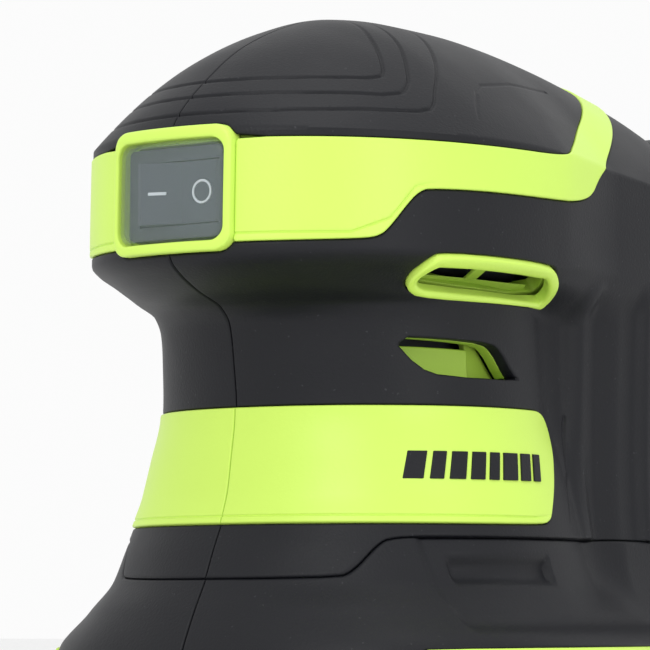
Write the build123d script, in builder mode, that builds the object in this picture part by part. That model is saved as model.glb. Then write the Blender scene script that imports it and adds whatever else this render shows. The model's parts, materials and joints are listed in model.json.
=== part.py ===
from build123d import *
import math, os

# Detail (mouse) sander, cordless.  Front of the tool is -Y, width is X, +Z is up.
# The origin is the motor axis at the abrasive face.  Millimetres, real size.
os.makedirs("parts", exist_ok=True)

# ---------------------------------------------------------------- driving sizes
GRIP_T = 1.6          # overmoulded rubber skin thickness
SKIN_GAP = 0.1       # gap kept between rubber skin and rigid shell
WALL = 4.2            # outside surface to cavity
Z_BASE = 27.3         # lower edge of the clamshell and skirt, where the base frame starts
APEX = 144.8          # top of the palm dome
Y_REAR = 66.0         # rear face of the tower
ECC = 1.0             # orbit radius of the pad
SHAFT_R = 2.5
CAN_R = 22.0
FAN_R = 30.0
SLIDE_GAP = 0.45

# section tables: front reach, half width, superellipse exponent against height
ZK = [19, 24, 30, 37.2, 43.5, 48.6, 53.8, 58.4, 62.9, 68.7, 76.5, 84.9, 90.6, 93.5, 95.6, 98, 100, 101.5, 122]
AK = [54, 52, 49.3, 46.5, 43.5, 40.7, 38.4, 36.2, 34.6, 33.6, 32.6, 33.4, 34.4, 36.8, 42.2, 46.8, 49.3, 50.0, 49.6]
BK = [50.6, 50.8, 50.8, 49.8, 43.8, 40.6, 38.9, 37.6, 36.6, 35.0, 32.8, 32.2, 32.0, 32.0, 32.8, 35.0, 38.0, 39.5, 39.3]
NK = [2.3, 2.3, 2.35, 2.35, 2.3, 2.15, 2.15, 2.15, 2.1, 2.1, 2.1, 2.1, 2.1, 2.1, 2.15, 2.15, 2.15, 2.15, 2.15]
TZ = [19, 30, 37, 45, 52, 70, 92, 101, 122]
TW = [47, 47, 44, 39, 36.5, 35.5, 36.0, 36.6, 36.2]
# ridge and shoulder height of the palm dome against Y
RY = [-49.6, -47.6, -45.6, -43.8, -39, -35.1, -30.4, -20, -11.5, -3, 10, 21, 34, 45.5, 56, 62, 66]
RZ = [121.0, 124, 126.2, 127.9, 131.8, 134.7, 137.5, 141.9, 144.2, 144.8, 144.7, 144.1, 142.4, 140.1, 137.4, 134.0, 127.0]
EY = [-50, -30, 0, 20, 40, 66]
EZ = [121.0, 120.8, 120.4, 119.4, 117.5, 114.0]


def interp(z, zs, vs):
    """monotone cubic through a table"""
    z = min(max(z, zs[0]), zs[-1])
    n = len(zs)
    h = [zs[i + 1] - zs[i] for i in range(n - 1)]
    d = [(vs[i + 1] - vs[i]) / h[i] for i in range(n - 1)]
    i = 0
    while i < n - 2 and z > zs[i + 1]:
        i += 1

    def slope(k):
        if k == 0:
            return d[0]
        if k == n - 1:
            return d[-1]
        if d[k - 1] * d[k] <= 0:
            return 0.0
        w1 = 2 * h[k] + h[k - 1]
        w2 = h[k] + 2 * h[k - 1]
        return (w1 + w2) / (w1 / d[k - 1] + w2 / d[k])

    t = (z - zs[i]) / h[i]
    return ((2 * t**3 - 3 * t**2 + 1) * vs[i] + (t**3 - 2 * t**2 + t) * h[i] * slope(i)
            + (-2 * t**3 + 3 * t**2) * vs[i + 1] + (t**3 - t**2) * h[i] * slope(i + 1))


def wall_field(x, y, z):
    """signed field of the horizontal section at height z, negative inside"""
    a, b, n = interp(z, ZK, AK), interp(z, ZK, BK), interp(z, ZK, NK)
    ay = a if y < 0 else b
    d1 = (((abs(x) / b) ** n + (abs(y) / ay) ** n) ** (1 / n) - 1) * min(ay, b)
    tw = interp(z, TZ, TW)
    rc = 9.0
    cy, hy = Y_REAR / 2, Y_REAR / 2
    qx, qy = abs(x) - (tw - rc), abs(y - cy) - (hy - rc)
    d2 = math.hypot(max(qx, 0), max(qy, 0)) + min(max(qx, qy), 0) - rc
    k = interp(z, [30, 43, 50, 92, 99, 104], [0, 0, 1, 1, 0.0, 0])
    d2 += k * 6.5 * min(max((30 - y) / 14, 0), 1.6) ** 1.5
    h = min(max(0.5 + 0.5 * (d2 - d1) / 5.0, 0), 1)
    return d2 * (1 - h) + d1 * h - 5.0 * h * (1 - h)


def wall_half_width(y):
    lo, hi = 0.0, 60.0
    if wall_field(0.0, y, 121.0) > 0:
        return 0.5
    for _ in range(30):
        m = (lo + hi) / 2
        if wall_field(m, y, 121.0) < 0:
            lo = m
        else:
            hi = m
    return max(lo, 0.5)


def body_field(x, y, z):
    f = wall_field(x, y, z)
    if z > 113.9 and f < 0:
        ze, zr = interp(y, EY, EZ), interp(y, RY, RZ)
        if z > ze:
            w = wall_half_width(y)
            g = (abs(x) / w) ** 2 - (1 - (z - ze) / max(zr - ze, 0.2))
            f = max(f, g * 10)
    return f


ANG = [0, 8, 16, 26, 36, 46, 56, 66, 76, 86, 96, 106, 114, 122, 130, 138, 144, 149, 154, 160, 167, 174, 180]


def ring(z, y0=0.0):
    pts = []
    for a in ANG:
        sx, sy = math.sin(math.radians(a)), -math.cos(math.radians(a))
        lo, hi = 0.0, 140.0
        for _ in range(34):
            m = (lo + hi) / 2
            if body_field(m * sx, y0 + m * sy, z) < 0:
                lo = m
            else:
                hi = m
        pts.append((lo * sx, y0 + lo * sy))
    return pts


_cache = {}


def ring_in(z, inset, y0=0.0):
    """section ring moved inward along its own normal"""
    key = (z, y0)
    if key not in _cache:
        _cache[key] = ring(z, y0)
    p = _cache[key]
    if inset == 0:
        return p
    out = []
    for i, (x, y) in enumerate(p):
        if i == 0:
            out.append((0.0, y + inset))
        elif i == len(p) - 1:
            out.append((0.0, y - inset))
        else:
            tx, ty = p[i + 1][0] - p[i - 1][0], p[i + 1][1] - p[i - 1][1]
            l = math.hypot(tx, ty)
            out.append((max(x - inset * ty / l, 0.3), y + inset * tx / l))
    return out


# how the inner skins follow the outside: vertical shift and sideways inset factors
SZ = [19, 24, 30, 36, 42, 50, 84, 90.6, 93.5, 97, 99.5, 101.5, 106, 112, 118]
SV = [0, 0, 0, 0, 0, 0, 0, 0.35, 0.8, 0.9, 0.8, 0.45, 0.1, 0, 0]
SH = [1, 1, 1, 1, 1, 1, 1, 0.95, 0.6, 0.5, 0.6, 0.9, 1, 1, 1]
LEVELS = [[19, 24, 30, 36, 42, 50, 58.4, 70, 80, 90.6], [90.6, 93.5, 97, 99.5, 101.5],
          [101.5, 108, 114], [114, 118, 122, 127, 132, 137, 141, 143.2, 144.4]]


def level(z, inset):
    """height and section of an inner skin that corresponds to outside height z"""
    if z <= 118:
        zz = z + inset * interp(z, SZ, SV)
        hh = inset * interp(z, SZ, SH)
    else:
        t = (z - 118) / (APEX - 118)
        zz = z - inset * t
        hh = inset * (1 - t) ** 0.8
    y0 = 3.0 if z > 114 else 0.0
    return zz, ring_in(z, hh, y0)


def half_loft(zs, inset, apex=False):
    with BuildPart(mode=Mode.PRIVATE) as p:
        for z in zs:
            zz, pts = level(z, inset)
            with BuildSketch(Plane.XY.offset(zz)):
                with BuildLine():
                    add(Edge.make_spline([Vector(x, y, 0) for x, y in pts],
                                         tangents=[Vector(1, 0, 0), Vector(-1, 0, 0)],
                                         parameters=[a / 180 for a in ANG]))
                    Line(pts[-1], pts[0])
                make_face()
        loft()
    return p.part


def base_plug(inset, drop):
    """prism that carries the lowest section straight down"""
    zz, pts = level(LEVELS[0][0], inset)
    with BuildPart(mode=Mode.PRIVATE) as p:
        with BuildSketch(Plane.XY.offset(zz)):
            with BuildLine():
                add(Edge.make_spline([Vector(x, y, 0) for x, y in pts],
                                     tangents=[Vector(1, 0, 0), Vector(-1, 0, 0)],
                                     parameters=[a / 180 for a in ANG]))
                Line(pts[-1], pts[0])
            make_face()
        extrude(amount=-drop)
    return p.part


def half_solid(inset, drop=0.0):
    """the lofts stacked into one half body along their shared sections"""
    pieces = [half_loft(zs, inset) for zs in LEVELS]
    if drop:
        pieces.insert(0, base_plug(inset, drop))
    body = pieces[0]
    for q in pieces[1:]:
        body = body + q
    return body


def width_at(y, z):
    lo, hi = 0.0, 60.0
    for _ in range(30):
        m = (lo + hi) / 2
        if body_field(m, y, z) < 0:
            lo = m
        else:
            hi = m
    return lo


OUT = half_solid(0.0)
MID = half_solid(GRIP_T)
MIDG = half_solid(GRIP_T - SKIN_GAP, drop=4)
CAV = half_solid(WALL, drop=4)


# ---------------------------------------------------------------- small helpers
MINA = (Align.MIN, Align.MIN, Align.MIN)
CCM = (Align.CENTER, Align.CENTER, Align.MIN)


def blk(x0, x1, y0, y1, z0, z1, mode=Mode.ADD):
    with Locations((x0, y0, z0)):
        Box(x1 - x0, y1 - y0, z1 - z0, align=MINA, mode=mode)


def cyl(x, y, z0, z1, r, mode=Mode.ADD):
    with Locations((x, y, z0)):
        Cylinder(r, z1 - z0, align=CCM, mode=mode)


def cylx(y, z, x0, x1, r, mode=Mode.ADD):
    with Locations(Location((x0, y, z), (0, 90, 0))):
        Cylinder(r, x1 - x0, align=CCM, mode=mode)


def cyly(x, z, y0, y1, r, mode=Mode.ADD):
    with Locations(Location((x, y0, z), (-90, 0, 0))):
        Cylinder(r, y1 - y0, align=CCM, mode=mode)


def yz_prism(pts, x0=-70.0, x1=70.0):
    with BuildPart(mode=Mode.PRIVATE) as p:
        with BuildSketch(Plane.YZ.offset(x0)):
            with BuildLine():
                Polyline(*pts, close=True)
            make_face()
        extrude(amount=x1 - x0)
    return p.part


def grow(pts, d):
    """same outline moved outward by d"""
    with BuildSketch(Plane.XY, mode=Mode.PRIVATE) as sk:
        with BuildLine():
            Polyline(*pts, close=True)
        make_face()
        offset(amount=d, kind=Kind.INTERSECTION)
    vs = sk.sketch.faces()[0].outer_wire().order_edges()
    return [((e @ 0).X, (e @ 0).Y) for e in vs]


# ---------------------------------------------------------------- colour zones, side view (Y, Z)
UP_BAND = [(-60, 102.6), (-49, 102.6), (-36, 103.2), (-33.6, 104.0), (-32, 105.6), (-29.5, 108.8), (-27.6, 111.0),
           (-25.5, 111.9), (5, 112.1), (12, 112.8), (15.5, 114.0), (18.6, 116.4), (22, 118.9), (26, 121.3),
           (39.5, 128.4), (50, 134.2), (58, 139.5), (66, 150), (54, 150), (48.5, 140.2), (42.5, 135.7),
           (34.4, 131.7), (17.5, 124.0), (12, 121.8), (8.5, 120.4), (5, 119.7), (-5, 119.5), (-60, 119.5)]
LOW_BAND = [(-60, 57.8), (1, 57.8), (3.6, 58.5), (5.2, 60.2), (9.6, 67.3), (11.9, 72.0), (11.7, 74.6), (10.2, 76.4),
            (7.8, 77.2), (-60, 77.0)]
STRIP = [(-36.5, 22.0), (-33.5, 36.6), (-32.2, 37.6), (58, 37.6), (60, 35.6), (60, 22.0)]
SLOT1_RIM = [(-26.8, 98.6), (-26.0, 100.4), (-24.3, 101.4), (2.6, 101.0), (4.8, 100.2), (9.8, 96.6), (9.9, 95.4),
             (8.8, 94.8), (-20.5, 95.0), (-24.6, 96.2)]
SLOT1 = [(-24.0, 98.0), (-23.2, 99.3), (2.8, 99.1), (6.6, 96.6), (-20.0, 96.4), (-22.8, 97.0)]
SLOT2_PIT = [(-22.3, 88.3), (-4.6, 87.8), (-2.6, 87.0), (1.0, 83.0), (2.8, 82.0), (-14.5, 82.0), (-18.5, 83.2)]
SLOT2 = [(-18.5, 87.0), (-5.0, 86.8), (-1.8, 83.2), (-15.0, 83.2)]
STEP = [(-100, 10), (-100, 48.6), (-34.6, 48.9), (-33.0, 49.8), (-28.8, 54.6), (-27.2, 55.6), (70, 55.8), (70, 10)]

# windows of the switch, centre front
WIN_X, WIN_Z0, WIN_Z1 = 11.1, 103.0, 119.7
FLANGE_X, FLANGE_Z0, FLANGE_Z1 = 10.5, 103.9, 118.9
SW_X, SW_Z0, SW_Z1 = 9.4, 104.9, 117.9
PIV_Y, PIV_Z = -44.4, 111.4

# clamshell screws (Y, Z), axis along X, driven from the -X side
SCREWS = [(-22, 127.5), (30, 124), (29, 92), (29, 62), (57.5, 104), (57.5, 62), (-33.5, 47)]
BOARD_Y = 46.0

# battery and dust box envelope
BAT = (-38.0, 38.0, 67.0, 121.0, 52.0, 131.0)
DB = (-35.0, 35.0, 66.9, 118.0, 20.0, 49.0)
RAIL_Z0, RAIL_Z1 = 55.0, 112.0
DUCT_Z = 34.0


def screw_sites():
    out = []
    for y, z in SCREWS:
        xo = width_at(y, z)
        out.append((y, z, xo, xo - 7.0))
    return out


SITES = screw_sites()

# ---------------------------------------------------------------- rigid clamshell half (+X side)
with BuildPart() as frame_block:
    with BuildSketch(Plane.XZ.offset(60)):
        with Locations((0, 111.5)):
            RectangleRounded(24.6, 20.6, 3.2)
    extrude(amount=-14.0)
FRAME_BLOCK = frame_block.part

# motor saddles, ledges and screw bosses: slices of the solid body inside the wall
inner = []
for z0, z1 in ((62, 64.5), (84.5, 86.8)):
    with BuildPart() as rib:
        add(MID)
        blk(-1, 70, -60, 24, z0, z1, mode=Mode.INTERSECT)
        cyl(0, 0, z0 - 1, z1 + 1, CAN_R + 0.15, mode=Mode.SUBTRACT)
    inner.append(rib.part)
# ledges for the control board
for z0 in (74, 104):
    with BuildPart() as ledge:
        add(MID)
        blk(20.5, 70, BOARD_Y - 4, BOARD_Y + 5, z0, z0 + 3, mode=Mode.INTERSECT)
        blk(0, 24.0, BOARD_Y - 0.95, BOARD_Y + 0.95, z0 - 1, z0 + 4, mode=Mode.SUBTRACT)
    inner.append(ledge.part)
# ledge that carries the motor mount
with BuildPart() as shelf:
    add(MID)
    blk(-1, 70, -60, 62, 38.4, 40.4, mode=Mode.INTERSECT)
    with BuildSketch(Plane.XY.offset(30)):
        with Locations((0, 8)):
            RectangleRounded(72, 72, 24)
    extrude(amount=20, mode=Mode.SUBTRACT)
inner.append(shelf.part)
# screw bosses
for y, z, xo, xs in SITES:
    with BuildPart() as rod:
        cylx(y, z, -1, 70, 3.9)
    with BuildPart() as boss:
        add(MID)
        add(rod.part, mode=Mode.INTERSECT)
    inner.append(boss.part)

with BuildPart() as half:
    add(MID)
    # coloured bands stand flush with the outside of the rubber
    for prof in (UP_BAND, LOW_BAND, STRIP):
        add((OUT & yz_prism(prof, -1, 70)))
    # proud rim round the upper vent
    add((Pos(0.9, 0, 0) * OUT) & yz_prism(SLOT1_RIM, 5, 70))
    # raised frame round the switch window
    add((Pos(0, -1.4, 0) * OUT) & FRAME_BLOCK)
    add(CAV, mode=Mode.SUBTRACT)
    for piece in inner:
        add(piece)
    # keep everything on this side of the parting plane
    blk(-90, 0.04, -120, 120, -10, 200, mode=Mode.SUBTRACT)
    # window, switch flange seat and body opening
    blk(0, WIN_X, -60, -47.6, WIN_Z0, WIN_Z1, mode=Mode.SUBTRACT)
    blk(0, FLANGE_X + 0.12, -60, -45.4, FLANGE_Z0 - 0.12, FLANGE_Z1 + 0.12, mode=Mode.SUBTRACT)
    blk(0, SW_X + 0.15, -60, -40, SW_Z0 - 0.15, SW_Z1 + 0.15, mode=Mode.SUBTRACT)
    # vents
    add(yz_prism(SLOT1, 20, 70), mode=Mode.SUBTRACT)
    add(yz_prism(SLOT2, 20, 70), mode=Mode.SUBTRACT)
    # rear wall: rail plate window and exhaust duct hole
    blk(0, 25.9, 58, 70, 54.1, 113.9, mode=Mode.SUBTRACT)
    blk(0, 28.4, 58, 63.9, 52.1, 115.9, mode=Mode.SUBTRACT)
    cyly(0, DUCT_Z, 40, 80, 12.8, mode=Mode.SUBTRACT)
    blk(-100, 100, -120, 120, -10, Z_BASE, mode=Mode.SUBTRACT)

with BuildPart() as left_shell:
    add(half.part)
    for y, z, xo, xs in SITES:
        cylx(y, z, -1, 12.5, 1.75, mode=Mode.SUBTRACT)
left_shell.part.label = "left_shell"
export_step(left_shell.part, "parts/left_shell.step")

with BuildPart() as right_shell:
    add(mirror(half.part, about=Plane.YZ))
    for y, z, xo, xs in SITES:
        cylx(y, z, -xs - 3, 1, 1.95, mode=Mode.SUBTRACT)
        cylx(y, z, -80, -xs, 3.5, mode=Mode.SUBTRACT)
right_shell.part.label = "right_shell"
export_step(right_shell.part, "parts/right_shell.step")
print("shell", left_shell.part.volume, len(left_shell.part.solids()), right_shell.part.volume, len(right_shell.part.solids()))

# ---------------------------------------------------------------- rubber skins (+X side)
with BuildPart() as skin:
    add(OUT)
    add(MIDG, mode=Mode.SUBTRACT)
    for prof in (UP_BAND, LOW_BAND, STRIP, SLOT1_RIM):
        add(yz_prism(grow(prof, 0.08), -1, 70), mode=Mode.SUBTRACT)
    add(yz_prism(SLOT2_PIT, 15, 70), mode=Mode.SUBTRACT)
    blk(-90, 0.06, -120, 120, -10, 200, mode=Mode.SUBTRACT)
    with BuildSketch(Plane.XZ.offset(60)):
        with Locations((0, 111.5)):
            RectangleRounded(24.9, 20.9, 3.3)
    extrude(amount=-25, mode=Mode.SUBTRACT)
    blk(0, 28.6, 58, 70, 52.0, 116.0, mode=Mode.SUBTRACT)
    cyly(0, DUCT_Z, 50, 80, 13.0, mode=Mode.SUBTRACT)
    blk(-100, 100, -120, 120, -10, Z_BASE, mode=Mode.SUBTRACT)

HEADBOX = [(-80, 118), (6, 118), (20, 124), (36, 131.5), (50, 139), (56, 160), (-80, 160)]
ABOVE = [(-100, 200), (-100, 48.6), (-34.6, 48.9), (-33.0, 49.8), (-28.8, 54.6), (-27.2, 55.6), (90, 55.8), (90, 200)]

with BuildPart() as left_palm_grip:
    add(skin.part)
    add(yz_prism(HEADBOX, -1, 70), mode=Mode.INTERSECT)
    # screw pockets are on the other side only
with BuildPart() as left_neck_grip:
    add(skin.part)
    add(yz_prism(HEADBOX, -1, 70), mode=Mode.SUBTRACT)
    add(yz_prism(grow(STEP, 0.12), -1, 70), mode=Mode.SUBTRACT)
with BuildPart() as low_out:
    add(half_loft(LEVELS[0], 0.0))
    add(yz_prism(ABOVE, -1, 70), mode=Mode.SUBTRACT)
with BuildPart() as left_skirt:
    add(low_out.part)
    add(half_loft(LEVELS[0], GRIP_T - SKIN_GAP), mode=Mode.SUBTRACT)
    add(base_plug(GRIP_T - SKIN_GAP, 4), mode=Mode.SUBTRACT)
    add(yz_prism(grow(STRIP, 0.08), -1, 70), mode=Mode.SUBTRACT)
    blk(-90, 0.06, -120, 120, -10, 200, mode=Mode.SUBTRACT)
    blk(0, 28.6, 58, 70, 52.0, 116.0, mode=Mode.SUBTRACT)
    cyly(0, DUCT_Z, 50, 80, 13.0, mode=Mode.SUBTRACT)
    blk(-100, 100, -120, 120, -10, Z_BASE, mode=Mode.SUBTRACT)
for nm, p in (("left_palm_grip", left_palm_grip), ("left_neck_grip", left_neck_grip), ("left_skirt", left_skirt)):
    print(nm, [round(q.volume) for q in p.part.solids()])
    p.part.label = nm
    export_step(p.part, "parts/%s.step" % nm)
    with BuildPart() as r:
        add(mirror(p.part, about=Plane.YZ))
        for y, z, xo, xs in SITES:
            cylx(y, z, -80, -2, 3.7, mode=Mode.SUBTRACT)
    nr = nm.replace("left", "right")
    print(nr, [round(q.volume) for q in r.part.solids()])
    r.part.label = nr
    export_step(r.part, "parts/%s.step" % nr)

# ---------------------------------------------------------------- housing screws
with BuildPart() as housing_screws:
    for y, z, xo, xs in SITES:
        cylx(y, z, -xs, 11.5, 1.7)
        cylx(y, z, -xs - 2.4, -xs, 3.1)
        cylx(y, z, -xs - 2.5, -xs - 1.2, 1.3, mode=Mode.SUBTRACT)
housing_screws.part.label = "housing_screws"
export_step(housing_screws.part, "parts/housing_screws.step")

# ---------------------------------------------------------------- switch
with BuildPart() as switch_housing:
    with BuildSketch(Plane.XZ.offset(47.3)):
        with Locations((0, 111.4)):
            RectangleRounded(2 * FLANGE_X, FLANGE_Z1 - FLANGE_Z0, 1.0)
    extrude(amount=-1.8)
    blk(-SW_X, SW_X, -45.6, -27.0, SW_Z0, SW_Z1)
    blk(-8.5, 8.5, -60, -38.6, 106.1, 116.7, mode=Mode.SUBTRACT)
    cyl(0, PIV_Y, 104.5, 118.3, 1.25, mode=Mode.SUBTRACT)
    blk(-8.0, 8.0, -38.6, -28.5, 107, 115.8, mode=Mode.SUBTRACT)
    blk(-4.8, -4.0, -30, -26, 109.0, 114.0, mode=Mode.SUBTRACT)
    blk(4.0, 4.8, -30, -26, 109.0, 114.0, mode=Mode.SUBTRACT)
switch_housing.part.label = "switch_housing"
export_step(switch_housing.part, "parts/switch_housing.step")

with BuildPart() as switch_terminals:
    for x in (-4.77, 4.03):
        blk(x, x + 0.74, -36.0, -20.5, 109.05, 113.95)
        cylx(-22.5, 111.5, x - 1, x + 2, 0.8, mode=Mode.SUBTRACT)
switch_terminals.part.label = "switch_terminals"
export_step(switch_terminals.part, "parts/switch_terminals.step")

# rocker: shallow V across its face, off side pressed in, pins in the housing
REST = 10.0
with BuildPart() as rocker:
    with BuildSketch(Plane.XY.offset(106.35)):
        with BuildLine():
            Polyline((-7.7, -48.2), (-7.0, -48.45), (0, -47.3), (7.0, -48.45), (7.7, -48.2), (7.6, -45.6),
                     (3.6, -43.0), (1.6, -40.8), (-1.6, -40.8), (-3.6, -43.0), (-7.6, -45.6), close=True)
        make_face()
    extrude(amount=10.1)
    cyl(0, PIV_Y, 105.0, 117.8, 1.2)
    # dished ring round the off mark and a bar for the on mark
    with BuildSketch(Plane.XZ.offset(48.9)):
        with Locations((4.2, 111.4)):
            Circle(2.1)
            Circle(1.5, mode=Mode.SUBTRACT)
        with Locations((-4.2, 111.4)):
            Rectangle(3.2, 0.6)
    extrude(amount=-1.25, mode=Mode.SUBTRACT)
rk = rocker.part.rotate(Axis((0, PIV_Y, 0), (0, 0, 1)), REST)
rk.label = "rocker"
print("rocker", rk.bounding_box())
export_step(rk, "parts/rocker.step")

# clear boot over the switch
with BuildPart() as switch_cover:
    with BuildSketch(Plane.XZ.offset(47.7)):
        with Locations((0, 111.35)):
            RectangleRounded(2 * WIN_X - 0.1, WIN_Z1 - WIN_Z0 - 0.1, 1.6)
    with BuildSketch(Plane.XZ.offset(51.9)):
        with Locations((0, 111.35)):
            RectangleRounded(2 * WIN_X - 1.0, WIN_Z1 - WIN_Z0 - 1.0, 2.0)
    loft()
    with BuildSketch(Plane.XZ.offset(47.6)):
        with Locations((0, 111.35)):
            RectangleRounded(2 * WIN_X - 2.2, WIN_Z1 - WIN_Z0 - 2.2, 1.2)
    with BuildSketch(Plane.XZ.offset(51.1)):
        with Locations((0, 111.35)):
            RectangleRounded(2 * WIN_X - 2.8, WIN_Z1 - WIN_Z0 - 2.8, 1.2)
    loft(mode=Mode.SUBTRACT)
switch_cover.part.label = "switch_cover"
print("cover", switch_cover.part.bounding_box())
export_step(switch_cover.part, "parts/switch_cover.step")

# ---------------------------------------------------------------- motor
with BuildPart() as motor_can:
    cyl(0, 0, 44, 99, CAN_R)
    cyl(0, 0, 45.5, 99.5, CAN_R - 1.5, mode=Mode.SUBTRACT)
    cyl(0, 0, 41, 44, 9.0)
    cyl(0, 0, 40, 46, 6.55, mode=Mode.SUBTRACT)
    with PolarLocations(15.0, 6):
        Cylinder(2.4, 200, mode=Mode.SUBTRACT)
    blk(-5, 5, -30, 30, 89, 93, mode=Mode.SUBTRACT)
    blk(-30, 30, -5, 5, 89, 93, mode=Mode.SUBTRACT)
motor_can.part.label = "motor_can"
export_step(motor_can.part, "parts/motor_can.step")

with BuildPart() as motor_magnets:
    cyl(0, 0, 49, 86, CAN_R - 1.6)
    cyl(0, 0, 48, 88, 17.5, mode=Mode.SUBTRACT)
    blk(-30, 30, -5, 5, 40, 90, mode=Mode.SUBTRACT)
motor_magnets.part.label = "motor_magnets"
export_step(motor_magnets.part, "parts/motor_magnets.step")

with BuildPart() as motor_end_bell:
    cyl(0, 0, 99.05, 103, CAN_R)
    cyl(0, 0, 95.5, 99.05, CAN_R - 1.6)
    cyl(0, 0, 95, 100.5, 15.5, mode=Mode.SUBTRACT)
    cyl(0, 0, 103, 107.5, 8.5)
    cyl(0, 0, 100, 106.5, 6.55, mode=Mode.SUBTRACT)
    cyl(0, 0, 100, 110, 4.0, mode=Mode.SUBTRACT)
    with PolarLocations(16.0, 2, start_angle=90):
        Box(5.2, 2.0, 300, mode=Mode.SUBTRACT)
motor_end_bell.part.label = "motor_end_bell"
export_step(motor_end_bell.part, "parts/motor_end_bell.step")

for nm, z0 in (("lower_bearing", 41.2), ("upper_bearing", 101.4)):
    with BuildPart() as b:
        cyl(0, 0, z0, z0 + 5.0, 6.5)
        cyl(0, 0, z0 - 1, z0 + 6, SHAFT_R + 0.06, mode=Mode.SUBTRACT)
    b.part.label = nm
    export_step(b.part, "parts/%s.step" % nm)

with BuildPart() as brush_holders:
    for s in (1, -1):
        x0, x1 = (7.9, 14.8) if s > 0 else (-14.8, -7.9)
        blk(x0, x1, -3.2, 3.2, 92.6, 99.9)
    blk(-16, 16, -2.3, 2.3, 93.6, 98.9, mode=Mode.SUBTRACT)
    cyl(0, 0, 100.0, 100.45, 15.4)
    cyl(0, 0, 99.9, 100.5, 7.6, mode=Mode.SUBTRACT)
    for s in (1, -1):
        x0, x1 = (8.5, 14.8) if s > 0 else (-14.8, -8.5)
        blk(x0, x1, -3.2, 3.2, 99.85, 100.05)
brush_holders.part.label = "brush_holders"
print("brush_holders", [round(q.volume, 1) for q in brush_holders.part.solids()])
export_step(brush_holders.part, "parts/brush_holders.step")

with BuildPart() as carbon_brushes:
    blk(7.35, 14.0, -2.2, 2.2, 93.7, 98.8)
    blk(-14.0, -7.35, -2.2, 2.2, 93.7, 98.8)
carbon_brushes.part.label = "carbon_brushes"
export_step(carbon_brushes.part, "parts/carbon_brushes.step")

with BuildPart() as motor_shaft:
    cyl(0, 0, 17.0, 108.5, SHAFT_R)
    chamfer(motor_shaft.edges().filter_by(GeomType.CIRCLE), 0.4)
motor_shaft.part.label = "motor_shaft"
export_step(motor_shaft.part, "parts/motor_shaft.step")

with BuildPart() as rotor_core:
    cyl(0, 0, 52, 84, 16.6)
    with PolarLocations(13.2, 10):
        Box(6.0, 2.2, 400, mode=Mode.SUBTRACT)
    with PolarLocations(10.4, 10):
        Cylinder(2.2, 400, mode=Mode.SUBTRACT)
    cyl(0, 0, 40, 100, SHAFT_R + 0.02, mode=Mode.SUBTRACT)
rotor_core.part.label = "rotor_core"
export_step(rotor_core.part, "parts/rotor_core.step")

with BuildPart() as rotor_windings:
    with PolarLocations(10.4, 10):
        with Locations((0, 0, 68)):
            Cylinder(1.9, 44)
    cyl(0, 0, 47.0, 51.6, 14.5)
    cyl(0, 0, 84.4, 89.0, 14.5)
    cyl(0, 0, 40, 100, 5.2, mode=Mode.SUBTRACT)
    fillet(rotor_windings.edges().filter_by(GeomType.CIRCLE).filter_by(lambda e: abs(e.radius - 14.5) < 0.01), 1.2)
rotor_windings.part.label = "rotor_windings"
print("windings", [round(q.volume, 1) for q in rotor_windings.part.solids()])
export_step(rotor_windings.part, "parts/rotor_windings.step")

with BuildPart() as commutator:
    cyl(0, 0, 92.2, 99.4, 7.0)
    cyl(0, 0, 90.2, 92.2, 8.2)
    with PolarLocations(7.0, 10):
        Box(0.8, 0.5, 400, mode=Mode.SUBTRACT)
    cyl(0, 0, 80, 110, SHAFT_R + 0.02, mode=Mode.SUBTRACT)
commutator.part.label = "commutator"
export_step(commutator.part, "parts/commutator.step")

# motor mount: bulkhead, motor cup, fan shroud and sockets for the pad legs
LEGS = [(-28, -25), (28, -25), (-30, 36), (30, 36)]
with BuildPart() as motor_mount:
    with BuildSketch(Plane.XY.offset(36.2)):
        with Locations((0, 8)):
            RectangleRounded(78, 78, 26)
    extrude(amount=2.1)
    cyl(0, 0, 38.2, 50, 25.0)
    cyl(0, 0, 42.5, 51, CAN_R + 0.05, mode=Mode.SUBTRACT)
    cyl(0, 0, 20, 60, 9.4, mode=Mode.SUBTRACT)
    with PolarLocations(15.0, 6):
        Cylinder(2.6, 300, mode=Mode.SUBTRACT)
    # fan shroud
    cyl(0, 0, 24.5, 36.2, 34.0)
    with BuildSketch(Plane.XY.offset(24.5)):
        Circle(32.0)
    extrude(amount=11.7, mode=Mode.SUBTRACT)
    # outlet to the rear
    blk(-11, 11, 30, 44, 25.5, 36.2)
    blk(-9.5, 9.5, 26, 45, 27.0, 35.0, mode=Mode.SUBTRACT)
    for x, y in LEGS:
        cyl(x, y, 26.0, 36.4, 8.3)
    for x, y in LEGS:
        cyl(x, y, 20.0, 34.8, 7.4, mode=Mode.SUBTRACT)
    cyl(0, 0, 20, 36.2, 32.0, mode=Mode.SUBTRACT)
motor_mount.part.label = "motor_mount"
print("motor_mount", [round(q.volume, 1) for q in motor_mount.part.solids()])
export_step(motor_mount.part, "parts/motor_mount.step")

with BuildPart() as exhaust_duct:
    blk(-11, 11, 44.3, 50, 25.5, 36.2)
    cyly(0, DUCT_Z, 49.0, 74.0, 11.8)
    cyly(0, DUCT_Z, 50.0, 75.0, 10.2, mode=Mode.SUBTRACT)
    blk(-9.5, 9.5, 44, 51, 27.0, 35.0, mode=Mode.SUBTRACT)
exhaust_duct.part.label = "exhaust_duct"
print("duct", [round(q.volume, 1) for q in exhaust_duct.part.solids()])
export_step(exhaust_duct.part, "parts/exhaust_duct.step")

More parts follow.
